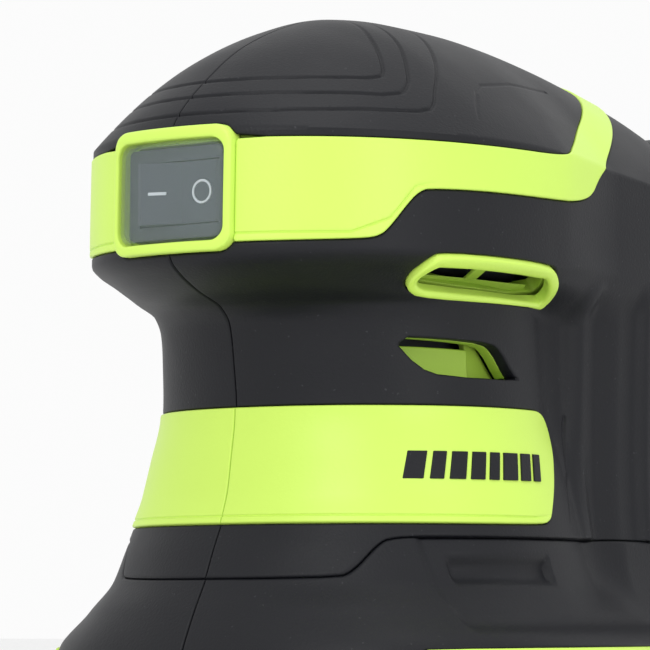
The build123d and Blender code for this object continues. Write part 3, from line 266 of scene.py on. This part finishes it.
def sd_poly(Y, Z, poly):
    """signed distance to a closed outline, negative inside"""
    P = np.stack([Y, Z], -1)
    d = np.full(Y.shape, 1e9); inside = np.zeros(Y.shape, bool)
    n = len(poly)
    for i in range(n):
        a, b = poly[i], poly[(i + 1) % n]
        e = b - a; l2 = max((e ** 2).sum(), 1e-12)
        w = P - a
        t = np.clip((w @ e) / l2, 0, 1)
        d = np.minimum(d, np.hypot(*(w - t[:, None] * e).T))
        c = ((a[1] > Z) != (b[1] > Z))
        with np.errstate(divide="ignore", invalid="ignore"):
            xi = (b[0] - a[0]) * (Z - a[1]) / (b[1] - a[1] + 1e-12) + a[0]
        inside ^= c & (Y < xi)
    return np.where(inside, -d, d)


def sd_line(Y, Z, pts):
    """signed distance to an open line and the arc position along it"""
    P = np.stack([Y, Z], -1)
    pts = np.asarray(pts, float)
    d = np.full(Y.shape, 1e9); sgn = np.ones(Y.shape); pos = np.zeros(Y.shape)
    acc = 0.0
    for i in range(len(pts) - 1):
        a, b = pts[i], pts[i + 1]
        e = b - a; L = math.hypot(*e)
        w = P - a
        t = np.clip((w @ e) / L ** 2, 0, 1)
        dd = np.hypot(*(w - t[:, None] * e).T)
        s = np.sign(e[0] * w[:, 1] - e[1] * w[:, 0])
        m = dd < d
        d[m] = dd[m]; sgn[m] = s[m]; pos[m] = acc + t[m] * L
        acc += L
    return d * np.where(sgn == 0, 1, sgn), pos, acc


class Patch:
    def __init__(self):
        self.V = GV.copy(); self.N = GN.copy(); self.F = None

    def start(self, f, lim=0.0):
        """keep only the quads that may be inside"""
        self.fv = f(self.V)
        q = self.fv[GF].min(1) < lim
        self.F = [tuple(r) for r in GF[q]]
        used = np.unique(np.array(self.F).ravel())
        remap = -np.ones(len(self.V), int); remap[used] = np.arange(len(used))
        self.V = self.V[used]; self.N = self.N[used]
        self.F = [tuple(remap[list(r)]) for r in self.F]

    def split(self, f, c, keep=None):
        val = f(self.V) - c
        val = np.where(np.abs(val) < 1e-4, 1e-4, val)
        V, N = list(self.V), list(self.N)
        cache = {}; out = []
        vl = val.tolist()

        def cut(i, j):
            k = (i, j) if i < j else (j, i)
            if k in cache:
                return cache[k]
            a, b = vl[k[0]], vl[k[1]]
            t = a / (a - b)
            V.append(self.V[k[0]] * (1 - t) + self.V[k[1]] * t)
            nn = self.N[k[0]] * (1 - t) + self.N[k[1]] * t
            N.append(nn / (np.linalg.norm(nn) + 1e-12))
            cache[k] = len(V) - 1
            return cache[k]

        for fc in self.F:
            s = [vl[i] < 0 for i in fc]
            if all(s):
                if keep != "+":
                    out.append(fc)
                continue
            if not any(s):
                if keep != "-":
                    out.append(fc)
                continue
            A, B = [], []
            n = len(fc)
            for k in range(n):
                i, j = fc[k], fc[(k + 1) % n]
                (A if s[k] else B).append(i)
                if s[k] != s[(k + 1) % n]:
                    m = cut(i, j)
                    A.append(m); B.append(m)
            if keep != "+" and len(A) >= 3:
                out.append(tuple(A))
            if keep != "-" and len(B) >= 3:
                out.append(tuple(B))
        self.V = np.array(V); self.N = np.array(N); self.F = out


SEAM = 0.05
SCREWS = [(-22, 127.5), (30, 124), (29, 92), (29, 62), (57.5, 104), (57.5, 62)]


# outlines in the side view (Y, Z)
UP_LOWER = [(-70, 102.6), (-49, 102.6), (-36, 103.1), (-33.4, 103.7), (-31.9, 105.4), (-29.5, 108.8), (-27.6, 111.0),
            (-25.3, 111.9), (5, 112.1), (11, 112.5), (16.5, 113.9), (19.3, 116.9), (22, 118.9), (26, 121.3),
            (39.5, 128.4), (50, 134.2), (58, 139.5), (66, 150)]
UP_UPPER = [(-70, 119.5), (-5, 119.5), (6, 119.8), (9.5, 120.6), (12, 121.8), (17.5, 124.0), (34.4, 131.7), (42.5, 135.7),
            (48.5, 140.2), (54, 150)]
P_BAND = chaikin(UP_LOWER + [(62, 156), (56, 156)] + UP_UPPER[::-1])
P_PALM = chaikin(UP_UPPER + [(54, 170), (-70, 170)])
P_ABOVE = chaikin(UP_LOWER + [(66, 180), (-70, 180)])
LOWB = [(-70, 57.8), (-40, 57.8), (1, 57.8), (4.2, 58.4), (5.6, 60.6), (9.7, 67.3), (12.2, 72.6), (11.8, 75.6),
        (9.4, 77.1), (5, 77.2), (-40, 77.0), (-70, 77.0)]
P_LOW = chaikin(LOWB)
P_STRIP = chaikin([(-36.5, 20.0), (-33.5, 36.9), (-31.8, 37.6), (56, 37.6), (60.5, 37.0), (61, 34), (61, 20.0)])
P_RIM = chaikin([(-25.3, 98.2), (-25.0, 100.2), (-23.6, 101.4), (0.5, 101.0), (4.6, 100.4), (8.9, 97.0), (9.3, 95.4),
                 (8.0, 94.7), (-20.5, 94.9), (-24.2, 96.2)])
P_SLOT1 = chaikin([(-24.0, 98.0), (-23.6, 99.3), (-22.6, 99.9), (1.2, 99.6), (3.6, 99.2), (7.3, 96.6), (7.0, 95.8), (-20.4, 96.1), (-23.2, 96.9)], 1)
P_PIT_IN = chaikin([(-22.4, 88.2), (-13, 88.1), (-4.7, 87.8), (-2.3, 86.7), (1.1, 83.1), (3.0, 82.1), (-14.4, 82.1), (-18.6, 83.5)], 1)
P_PIT = chaikin([(-22.6, 88.3), (-13, 88.2), (-4.6, 87.9), (-2.2, 86.8), (1.2, 83.0), (3.2, 82.0), (-14.5, 82.0), (-18.7, 83.4)], 1)
STEP = [(-110, 0), (-110, 48.6), (-60, 48.6), (-34.8, 48.9), (-32.8, 50.0), (-29.0, 54.4), (-27.0, 55.5), (-20, 55.7), (80, 55.7), (80, 0)]
P_STEP = chaikin(STEP)


def sdp(poly):
    return lambda Y, Z: sd_poly(Y, Z, poly)


GAP = 0.07
frame_hole = chaikin([(-80, 101.25), (-80, 121.8), (-40, 121.8), (-40, 101.25)], 0)


def bezel_clear(V):
    """distance to the window frame, which straddles the seam at the front"""
    x, y, z = V[:, 0], V[:, 1], V[:, 2]
    qx = np.abs(x) - (12.35 - 3.2); qz = np.abs(z - 111.5) - (10.35 - 3.2)
    d = np.hypot(np.maximum(qx, 0), np.maximum(qz, 0)) + np.minimum(np.maximum(qx, qz), 0) - 3.2
    return np.where(y < -30, d, 50.0)


def pockets(f):
    """the same region with the screw pockets of the right half cut out"""
    def g(V):
        v = f(V)
        for y, z in SCREWS:
            v = np.maximum(v, 3.45 - np.hypot(V[:, 1] - y, V[:, 2] - z))
        return v
    return g


def build_core(name, f, material, sides=None, **kw):
    """both sides, the right one with its screw pockets"""
    return build_side(name, f, material, 1, **kw) + build_side(name, pockets(f), material, -1, **kw)


def build_side(name, f, material, side, height=0.0, bevel=0.45, depth=1.2, lines=(), disp=None, seam=True):
    p = Patch()
    p.start(f)
    p.split(f, 0.0, keep="-")
    g = lambda V: SEAM - V[:, 0]
    if seam:
        p.split(g, 0.0, keep="-")
    for c in (0.12, 0.38, 0.7, 1.0):
        p.split(f, -c * bevel)
        if seam:
            p.split(g, -c * bevel)
    for pts, w, dep in lines:
        h = lambda V, pts=pts: sd_line(V[:, 1], V[:, 2], pts)[0]
        for c in (-1, -0.55, -0.2, 0.2, 0.55, 1):
            p.split(h, c * w)
    V, N = p.V, p.N
    dist = -f(V)
    if seam:
        dist = np.minimum(dist, V[:, 0] - SEAM)
    dist = np.clip(dist, 0, None)
    t = np.clip(dist / bevel, 0, 1)
    hgt = height - bevel * (1 - np.sqrt(np.clip(1 - (1 - t) ** 2, 0, 1)))
    for pts, w, dep in lines:
        d, pos, tot = sd_line(V[:, 1], V[:, 2], pts)
        fade = np.clip((tot - pos) / 6.0, 0, 1)
        hgt = hgt - dep * fade * np.cos(np.clip(np.abs(d) / w, 0, 1) * math.pi / 2) ** 2
    if disp is not None:
        hgt = hgt + disp(V)
    top = V + N * hgt[:, None]
    if seam:
        top[:, 0] = np.maximum(top[:, 0], SEAM)
    F = p.F
    cnt = {}
    for fc in F:
        n = len(fc)
        for k in range(n):
            cnt[(fc[k], fc[(k + 1) % n])] = 1
    bnd = [e for e in cnt if (e[1], e[0]) not in cnt]
    inner = {}
    verts = [tuple(v) for v in top]
    for e in bnd:
        for i in e:
            if i not in inner:
                q = V[i] - N[i] * depth
                if seam:
                    q[0] = max(q[0], SEAM)
                inner[i] = len(verts)
                verts.append(tuple(q))
    faces = [tuple(int(i) for i in fc) for fc in F]
    for a, b in bnd:
        faces.append((int(b), int(a), inner[a], inner[b]))
    verts = np.array(verts) * MM
    objs = []
    for sgn, nm in ((1, "left_" + name), (-1, "right_" + name)):
        if sgn != side:
            continue
        vv = verts.copy()
        vv[:, 0] *= sgn
        ff = faces if sgn > 0 else [tuple(reversed(q)) for q in faces]
        me = bpy.data.meshes.new(nm)
        me.from_pydata([tuple(v) for v in vv], [], ff)
        me.update()
        bm = bmesh.new(); bm.from_mesh(me)
        bmesh.ops.remove_doubles(bm, verts=bm.verts, dist=2e-6)
        for e in bm.edges:
            e.smooth = not (len(e.link_faces) == 2 and e.calc_face_angle(0) > math.radians(38))
        for fc in bm.faces:
            fc.smooth = True
        bm.to_mesh(me); bm.free()
        ob = bpy.data.objects.new(nm, me)
        bpy.context.scene.collection.objects.link(ob)
        me.materials.append(material)
        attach(ob, "housing")
        objs.append(ob)
    return objs


def bump_fn(y0, y1, z0, z1, soft, amt):
    """soft-edged field of displacement in the side view"""
    def f(V):
        ss = lambda t: np.clip(t, 0, 1) ** 2 * (3 - 2 * np.clip(t, 0, 1))
        y, z = V[:, 1], V[:, 2]
        return amt * ss((y - y0) / soft) * ss((y1 - y) / soft) * ss((z - z0) / (2 * soft)) * ss((z1 - z) / (2 * soft))
    return f


# palm pad with three nested grooves each side and a short one behind
L1 = [(-60, 123.9), (-43, 124.1), (-37, 124.3), (-24.4, 124.6), (-21.6, 125.2), (-19.6, 126.6), (-17.4, 128.8), (-6.5, 137.9), (0, 143)]
L2 = [(-60, 127.2), (-40.6, 127.4), (-27.5, 127.4), (-24.2, 127.9), (-22.4, 129.0), (-20.6, 130.4), (-13.2, 138.2), (-8, 143.5)]
L3 = [(-60, 130.1), (-35.5, 130.3), (-27.0, 130.5), (-24.4, 131.0), (-23.0, 132.2), (-16.5, 139.2), (-12, 143.5)]
LR = [(24.1, 133.7), (8, 133.0), (-3.8, 131.3), (-7.0, 129.8), (-11.0, 126.3), (-13.4, 123.6)]
palm_f = lambda V: np.maximum(sd_poly(V[:, 1], V[:, 2], P_PALM) + GAP, -bezel_clear(V) + 0.12)
build_core("palm_skin", palm_f, RUBBER, height=0.1, bevel=0.28,
           lines=[(L1, 0.36, 0.34), (L2, 0.36, 0.34), (L3, 0.36, 0.34), (LR, 0.4, 0.2)])

def neck_region(V):
    y, z = V[:, 1], V[:, 2]
    f = np.maximum(sd_poly(y, z, P_ABOVE) * -1 + GAP, -sd_poly(y, z, P_LOW) + GAP)
    f = np.maximum(f, -sd_poly(y, z, P_STEP) + 0.04)
    f = np.maximum(f, -sd_poly(y, z, P_RIM) + GAP)
    f = np.maximum(f, -sd_poly(y, z, P_PIT))
    f = np.maximum(f, -bezel_clear(V) + 0.12)
    # opening for the battery rail in the rear wall
    d = np.maximum(np.abs(V[:, 0]) - 28.4, np.abs(z - 84.0) - 31.9)
    return np.maximum(f, np.where(y > 60, -d, -50))


def neck_disp(V):
    return (bump_fn(21.0, 37.0, 46, 101, 3.2, -1.5)(V) + bump_fn(17.0, 22.5, 50, 100, 2.4, 0.5)(V))


THIN = [(18.0, 76.5), (17.0, 67.0), (12.2, 58.2), (11.6, 56.6)]
build_core("neck_skin", neck_region, RUBBER, height=0.0, bevel=0.42, depth=3.6, disp=neck_disp, lines=[(THIN, 0.4, 0.3)])

def skirt_region(V):
    y, z = V[:, 1], V[:, 2]
    f = np.maximum(sd_poly(y, z, P_STEP) + 0.04, -sd_poly(y, z, P_STRIP) + GAP)
    f = np.maximum(f, -(z - 27.3))
    hole = np.hypot(V[:, 0], z - 34.0) - 13.0
    return np.maximum(f, np.where(y > 50, -hole, -50))


def skirt_disp(V):
    return bump_fn(-24.5, 90, 39.6, 90, 1.3, -0.55)(V) + bump_fn(-21.0, 2.5, 47.6, 53.2, 1.2, -1.4)(V)


build_core("skirt_skin", skirt_region, RUBBER, height=-0.12, bevel=0.5, disp=skirt_disp)

band_f = lambda V: np.maximum(sd_poly(V[:, 1], V[:, 2], P_BAND), -bezel_clear(V) + 0.02)
build_core("upper_band", band_f, GREEN, height=0.38, bevel=0.3, depth=0.4,
           lines=[([(-70, 103.75), (-37.5, 104.1), (-32, 106.6), (-28, 111.9), (-24, 112.9)], 0.28, 0.26)])
build_core("lower_band", lambda V: sd_poly(V[:, 1], V[:, 2], P_LOW), GREEN, height=0.38, bevel=0.3, depth=0.4,
           lines=[([(-70, 58.95), (-40, 58.95), (0, 58.95), (6, 59.5)], 0.24, 0.22)])
strip_f = lambda V: np.maximum(np.maximum(sd_poly(V[:, 1], V[:, 2], P_STRIP), 27.35 - V[:, 2]),
                               np.where(V[:, 1] > 50, 13.0 - np.hypot(V[:, 0], V[:, 2] - 34.0), -50))
build_core("base_strip", strip_f, GREEN, height=0.38, bevel=0.4, depth=0.4)
rim_f = lambda V: np.maximum(sd_poly(V[:, 1], V[:, 2], P_RIM), -sd_poly(V[:, 1], V[:, 2], P_SLOT1))
build_side("vent_rim", rim_f, GREEN, 1, height=1.25, bevel=0.5, depth=0.8, seam=False)
build_side("vent_rim", rim_f, GREEN, -1, height=0.3, bevel=0.3, depth=0.8, seam=False)

# rigid shell under the skins, open at the vents, the window and the rear
def shell_region(V):
    y, z = V[:, 1], V[:, 2]
    f = np.full(y.shape, -50.0)
    f = np.maximum(f, -sd_poly(y, z, P_SLOT1))
    f = np.maximum(f, -sd_poly(y, z, P_PIT_IN))
    qx = np.abs(V[:, 0]) - 8.4; qz = np.abs(z - 111.35) - 5.6
    win = np.hypot(np.maximum(qx, 0), np.maximum(qz, 0)) + np.minimum(np.maximum(qx, qz), 0) - 2.4
    f = np.maximum(f, np.where(y < -30, -win, -50))
    d = np.maximum(np.abs(V[:, 0]) - 27.9, np.abs(z - 84.0) - 31.6)
    f = np.maximum(f, np.where(y > 60, -d, -50))
    f = np.maximum(f, np.where(y > 50, 12.8 - np.hypot(V[:, 0], z - 34.0), -50))
    return np.maximum(f, 27.3 - z)


# the shell takes the darker green, painted shade where it shows through gaps and vents
build_core("shell_body", shell_region, GREEN_PAINTED_SHADE, height=-1.72, bevel=0.12, depth=4.2, disp=lambda V: np.minimum(neck_disp(V), skirt_disp(V)).clip(-1.6, 0))

for n in ("left_palm_grip", "left_neck_grip", "left_skirt", "right_palm_grip", "right_neck_grip", "right_skirt"):
    side = n.split("_")[0]
    part = {"palm": "palm_skin", "neck": "neck_skin", "skir": "skirt_skin"}[n.split("_")[1][:4]]
    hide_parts(n)
for side in ("left", "right"):
    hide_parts(side + "_shell")


# ------------------------------------------------------------------ smaller pieces
def front_y(x, z):
    """how far forward the skin lies at x, z on the front"""
    a = np.linspace(0, 0.9, 60)
    rx, ry = ring(a, np.full(a.shape, min(z, 121.0)))
    return float(np.interp(abs(x), rx, ry)) + max(0.0, z - 121.0) * 0.35


def side_x(y, z):
    """how far out the skin lies at y, z on the left side"""
    a = np.linspace(0.15, math.pi - 0.15, 240)
    rx, ry = ring(a, np.full(a.shape, z))
    return float(np.interp(y, ry, rx))


def new_mesh(name, verts, faces, material, body, flip=False, sharp=38, bevel=0.0):
    me = bpy.data.meshes.new(name)
    me.from_pydata([tuple(float(q) * MM for q in v) for v in verts], [], [tuple(int(i) for i in f) for f in faces])
    me.update()
    bm = bmesh.new(); bm.from_mesh(me)
    bmesh.ops.recalc_face_normals(bm, faces=bm.faces)
    for e in bm.edges:
        e.smooth = not (len(e.link_faces) == 2 and e.calc_face_angle(0) > math.radians(sharp))
    for fc in bm.faces:
        fc.smooth = True
    bm.to_mesh(me); bm.free()
    ob = bpy.data.objects.new(name, me)
    bpy.context.scene.collection.objects.link(ob)
    me.materials.append(material)
    if bevel:
        bv = ob.modifiers.new("edge", "BEVEL"); bv.width = bevel * MM; bv.segments = 3
        bv.limit_method = "ANGLE"; bv.angle_limit = math.radians(40)
    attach(ob, body)
    return ob


def rrect(hx, z0, z1, rad, n=10):
    """rounded rectangle in x, z"""
    pts = []
    for cx, cz, a0 in ((hx - rad, z1 - rad, 0), (-hx + rad, z1 - rad, 90), (-hx + rad, z0 + rad, 180), (hx - rad, z0 + rad, 270)):
        for k in range(n + 1):
            a = math.radians(a0 + 90 * k / n)
            pts.append((cx + rad * math.cos(a), cz + rad * math.sin(a)))
    return pts


def fine(pts, step=1.2):
    out = []
    for i in range(len(pts)):
        a, b = pts[i], pts[(i + 1) % len(pts)]
        m = max(1, int(math.hypot(b[0] - a[0], b[1] - a[1]) / step))
        for k in range(m):
            out.append((a[0] + (b[0] - a[0]) * k / m, a[1] + (b[1] - a[1]) * k / m))
    return out


def loft_rings(rings, close_ends=False):
    V = [p for rg in rings for p in rg]
    n = len(rings[0]); F = []
    for i in range(len(rings) - 1):
        for k in range(n):
            a, b = i * n + k, i * n + (k + 1) % n
            F.append((a, b, b + n, a + n))
    if close_ends:
        F.append(tuple(range(n))[::-1]); F.append(tuple(range((len(rings) - 1) * n, len(rings) * n)))
    return V, F


# window frame: rounded ring standing proud of the skin, following its curve
prof = []  # (move inwards from the outer outline, height over the skin)
OUTL = fine(rrect(12.35, 101.25, 121.85, 3.0))
INN = fine(rrect(11.15, 102.95, 119.75, 2.4))
mid_o = np.array(OUTL)


def at(t, n=260):
    """n angles evenly spaced over a full turn; t is not used"""
    res = []
    for k in range(n):
        a = 2 * math.pi * k / n
        res.append(a)
    return res


def by_angle(pts, n=260):
    P = np.array(pts); c0 = np.array([0, 111.4]); q = (P - c0) / np.array([12.3, 10.3])
    ang = np.unwrap(np.arctan2(q[:, 1], q[:, 0]))
    if ang[-1] < ang[0]:
        P, ang = P[::-1], ang[::-1]
    ang = ang - ang[0]
    ang = np.append(ang, 2 * math.pi); P = np.vstack([P, P[:1]])
    k = np.linspace(0, 2 * math.pi, n, endpoint=False)
    return np.stack([np.interp(k, ang, P[:, 0]), np.interp(k, ang, P[:, 1])], 1)


A, B = by_angle(OUTL), by_angle(INN)
rings = []
for t, h in ((0.0, -1.0), (0.0, 1.1), (0.04, 1.32), (0.14, 1.46), (0.3, 1.52), (0.72, 1.52), (0.88, 1.46), (0.97, 1.3), (1.0, 1.05), (1.0, -1.6)):
    P = A * (1 - t) + B * t
    rings.append([(x, front_y(x, z) - h, z) for x, z in P])
V, F = loft_rings(rings)
new_mesh("window_frame", V, F, GREEN, "housing")

# clear lens over the rocker, seated inside the frame
B2 = by_angle(fine(rrect(11.05, 103.05, 119.65, 2.3)))
cen = np.array([0.0, 111.35])
rings = []
for k, h in ((0.02, 1.42), (0.3, 1.42), (0.6, 1.36), (0.86, 1.2), (0.94, 1.08), (0.98, 0.86), (1.0, 0.5), (1.0, -1.2),
             (0.94, -1.2), (0.94, 0.3), (0.9, 0.55), (0.6, 0.75), (0.02, 0.8)):
    P = cen + (B2 - cen) * k
    rings.append([(x, front_y(x, z) - h, z) for x, z in P])
V, F = loft_rings(rings, True)
lens = new_mesh("switch_lens", V, F, CLEAR, "housing")
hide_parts("switch_cover")

# screws: the front one sits deeper, under the curve of the skin
src = frame["nodes"]["housing_screws"]
sc_ = bpy.data.objects.new("clamshell_screws", src.data.copy())
bpy.context.scene.collection.objects.link(sc_)
for v in sc_.data.vertices:
    if v.co.y < -0.0285 and v.co.z < 0.06 and v.co.x < -0.008:
        v.co.x += 0.0062
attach(sc_, "housing"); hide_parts("housing_screws")

# marks on the rocker: a bar on the near half and a ring on the far half
rest = math.radians(10.0)
PIVY = -44.4


def rk(x, y, z):
    dx, dy = x, y - PIVY
    return (dx * math.cos(rest) - dy * math.sin(rest), PIVY + dx * math.sin(rest) + dy * math.cos(rest), z)


def face_y(x):
    x = abs(x)
    return -47.3 - (min(x, 7.0) / 7.0) * 1.15


RV, RF = [], []
nn = 36
for k in range(nn):
    a = 2 * math.pi * k / nn
    for rr, up in ((1.55, -0.3), (1.62, 0.1), (1.98, 0.1), (2.05, -0.3)):
        x, z = 4.2 + rr * math.cos(a), 111.4 + rr * math.sin(a)
        RV.append(rk(x, face_y(x) - up, z))
for k in range(nn):
    a, b = k * 4, ((k + 1) % nn) * 4
    for q in range(3):
        RF.append((a + q, b + q, b + q + 1, a + q + 1))
new_mesh("mark_ring", RV, RF, MARK, "rocker")
BV = []
for up in (-0.3, 0.1):
    for x, z in ((-5.75, 111.15), (-2.65, 111.15), (-2.65, 111.65), (-5.75, 111.65)):
        BV.append(rk(x, face_y(x) - up, z))
new_mesh("mark_bar", BV, [(0, 1, 2, 3), (4, 5, 6, 7), (0, 1, 5, 4), (1, 2, 6, 5), (2, 3, 7, 6), (3, 0, 4, 7)], MARK, "rocker")


def slab(name, pts, d0, d1, material, body="housing", bevel=0.15, both=True):
    """flat piece following the flank: outline in (Y, Z), from d0 to d1 outward of the skin"""
    pts = fine(pts, 2.0)
    for sgn, nm in ((1, "left_" + name), (-1, "right_" + name))[:2 if both else 1]:
        lo_, hi_ = [], []
        for y, z in pts:
            x = side_x(y, z)
            lo_.append((sgn * (x + d0), y, z)); hi_.append((sgn * (x + d1), y, z))
        V, F = loft_rings([lo_, hi_], True)
        new_mesh(nm, V, F, material, body, bevel=bevel)


# plain slanted bars where a label sits on the lower band
xb = -23.5
for i, (wd, h0, h1) in enumerate(((2.6, 65.0, 69.6), (2.0, 65.0, 69.6), (2.6, 65.0, 69.6), (2.6, 65.0, 69.6), (2.0, 65.0, 69.6),
                                 (3.4, 65.0, 69.6), (2.6, 65.0, 69.6), (2.0, 65.0, 69.6))):
    slab("bar_%d" % (i + 1), [(xb, h0), (xb + wd, h0), (xb + wd + 1.5, h1), (xb + 1.5, h1)], -0.3, 0.72, RUBBER, bevel=0.12, both=False)
    xb += wd + 0.95

# pad layers and base frame: copies of their solids with the outline made even at the nose and the rear corner
PAD = [(0, -89), (12, -83.5), (26, -66), (37, -44), (44.5, -20), (48.6, 4), (49.2, 24), (45, 42), (31, 54), (0, 58)]


def pad_radius(inset):
    """radius of the pad outline about (0, -5) by angle, from a closed smooth curve through its points"""
    h = [(x - inset * (x / math.hypot(x, y + 5)) if x else 0.0, y - inset * (y + 5) / math.hypot(x, y + 5)) for x, y in PAD]
    P = np.array(h + [(-x, y) for x, y in h[-2:0:-1]], float)
    n = len(P); out = []
    for i in range(n):
        p0, p1, p2, p3 = P[i - 1], P[i], P[(i + 1) % n], P[(i + 2) % n]
        for t in np.linspace(0, 1, 24, endpoint=False):
            out.append(0.5 * (2 * p1 + (p2 - p0) * t + (2 * p0 - 5 * p1 + 4 * p2 - p3) * t * t + (3 * p1 - p0 - 3 * p2 + p3) * t ** 3))
    out = np.array(out)
    ang = np.arctan2(out[:, 0], -(out[:, 1] + 5)); r = np.hypot(out[:, 0], out[:, 1] + 5)
    o = np.argsort(ang)
    return ang[o], r[o]


def evened(node, name, body, inset_of):
    src = frame["nodes"][node]
    ob = bpy.data.objects.new(name, src.data.copy())
    bpy.context.scene.collection.objects.link(ob)
    tables = {}
    for v in ob.data.vertices:
        x, y, z = (q / MM for q in v.co)
        if not ((y < -74 and x < -0.5) or (y > 42 and x > 0.5)):
            continue
        ins = inset_of(z)
        if ins not in tables:
            tables[ins] = pad_radius(ins)
        ang, r = math.atan2(x, -(y + 5)), math.hypot(x, y + 5)
        lim = float(np.interp(ang, *tables[ins]))
        if r > lim:
            v.co.x = x * lim / r * MM
            v.co.y = ((y + 5) * lim / r - 5) * MM
    ob.data.update()
    bm = bmesh.new(); bm.from_mesh(ob.data)
    bmesh.ops.remove_doubles(bm, verts=bm.verts, dist=1e-6)
    bmesh.ops.dissolve_degenerate(bm, edges=bm.edges, dist=1e-6)
    bm.to_mesh(ob.data); bm.free()
    for q in ob.data.polygons:
        q.use_smooth = False
    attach(ob, body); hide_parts(node)
    return ob


def frame_inset(z):
    return 0.0 if z < 24.9 else 0.35 if z < 25.7 else 0.9 if z < 26.4 else 1.6 if z < 26.9 else 2.5


evened("base_frame", "nose_frame", "housing", frame_inset)
evened("platen", "pad_plate", "pad", lambda z: 2.0)
evened("hook_layer", "hook_face", "pad", lambda z: 0.5)
evened("sanding_sheet", "abrasive_sheet", "pad", lambda z: 0.0)
evened("tip_sheet", "abrasive_tip", "pad", lambda z: 0.0)
evened("pad_foam", "foam_cushion", "pad", lambda z: 0.8)

# guide fins seen through the air slots in the painted-shade green, with black sheets behind them as painted shade of
# the dark interior
slab("vent_shelf", [(-23.6, 95.2), (7.4, 95.0), (5.0, 98.35), (-22.8, 98.5)], -5.2, -4.1, GREEN_PAINTED_SHADE, bevel=0.2)
slab("vent_post", [(-10.2, 98.2), (-7.6, 98.2), (-7.6, 100.2), (-10.2, 100.2)], -5.2, -4.1, GREEN_PAINTED_SHADE, bevel=0.2)
# black sheet behind the upper slot: painted shade
slab("vent_shade_sheet", [(-23.6, 95.2), (7.4, 95.0), (5.0, 100.2), (-22.8, 100.2)], -9.2, -8.4, BLACK, bevel=0.1)
slab("pit_shelf", [(-21.2, 81.6), (-5.4, 81.6), (-5.4, 86.9), (-21.2, 87.1)], -5.4, -4.4, GREEN_PAINTED_SHADE, bevel=0.2)
slab("pit_wall", [(-5.0, 81.6), (3.4, 81.6), (-3.0, 88.2), (-5.0, 88.2)], -6.4, -5.2, GREEN_PAINTED_SHADE, bevel=0.2)
# black sheet behind the pit: painted shade
slab("pit_shade_sheet", [(-22.8, 81.4), (3.6, 81.4), (-3.0, 88.6), (-22.8, 88.6)], -9.2, -8.4, BLACK, bevel=0.1)

# grip ribs on both flanks of the battery, set into its case
blo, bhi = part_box("battery_case_rear")
for sgn, sd in ((1, "left"), (-1, "right")):
    xw = (bhi.x if sgn > 0 else blo.x) / MM
    for i in range(6):
        z0 = blo.z / MM + 22 + i * 6.4
        y0, y1 = blo.y / MM + 9, bhi.y / MM - 9
        n = 12
        ringp = []
        for k in range(2 * n):
            a = math.pi * (k if k < n else k) / n - math.pi / 2
            cy = y1 if k < n else y0
            ringp.append((cy + 1.5 * math.cos(a) * 1.0, z0 + 1.5 * math.sin(a)))
        rings = []
        for off, dx in ((0.0, -0.6), (0.0, 0.25), (0.35, 0.55), (0.9, 0.62)):
            rings.append([(xw + sgn * dx, y + (off if y < (y0 + y1) / 2 else -off), z0 + (z - z0) * (1 - off / 1.6)) for y, z in ringp])
        V, F = loft_rings(rings, True)
        new_mesh("%s_battery_rib_%d" % (sd, i + 1), V, F, RUBBER, "battery")

# ------------------------------------------------------------------ camera, light, floor
azc = math.radians(38.0)
c = Vector((math.sin(azc), -math.cos(azc), 0)); r = Vector((math.cos(azc), math.sin(azc), 0))
T = r * ((325 - 356) / 5.8) + Vector((0, 0, 145 - (325 - 22) / 5.8))
C = T + c * 650; C.z = 42.0
dirv = (T - C); dist = dirv.length
cd = bpy.data.cameras.new("camera"); cam = bpy.data.objects.new("camera", cd)
bpy.context.scene.collection.objects.link(cam)
cam.location = C * MM
cam.rotation_euler = dirv.to_track_quat("-Z", "Y").to_euler()
cd.sensor_width = 36; cd.lens = 36 * 5.8 * dist / 650
cd.clip_start = 0.01; cd.clip_end = 30
bpy.context.scene.camera = cam
bpy.context.scene.view_settings.view_transform = "Standard"

fm = mat("floor_pale", srgb(244, 244, 244), 0.9, var=0.01, bump=0.0)
me = bpy.data.meshes.new("floor")
me.from_pydata([(-6, -6, -0.0006), (6, -6, -0.0006), (6, 6, -0.0006), (-6, 6, -0.0006)], [], [(0, 1, 2, 3)])
fl = bpy.data.objects.new("floor", me); bpy.context.scene.collection.objects.link(fl)
me.materials.append(fm)

w = bpy.data.worlds.new("studio"); bpy.context.scene.world = w
w.use_nodes = True
w.node_tree.nodes["Background"].inputs[0].default_value = (1, 1, 1, 1)
w.node_tree.nodes["Background"].inputs[1].default_value = 0.97


def area(name, loc, target, size, power, size_y=None):
    ld = bpy.data.lights.new(name, "AREA"); ob = bpy.data.objects.new(name, ld)
    bpy.context.scene.collection.objects.link(ob)
    ld.shape = "RECTANGLE"; ld.size = size; ld.size_y = size_y or size; ld.energy = power
    ob.location = loc
    ob.rotation_euler = (Vector(target) - Vector(loc)).to_track_quat("-Z", "Y").to_euler()
    return ob


area("key", (0.25, -0.75, 0.55), (0, 0, 0.09), 0.35, 2.2)
area("top", (0.1, -0.1, 0.9), (0, 0, 0.1), 0.5, 1.4)
area("side", (0.8, -0.2, 0.25), (0, 0, 0.09), 0.3, 1.0)
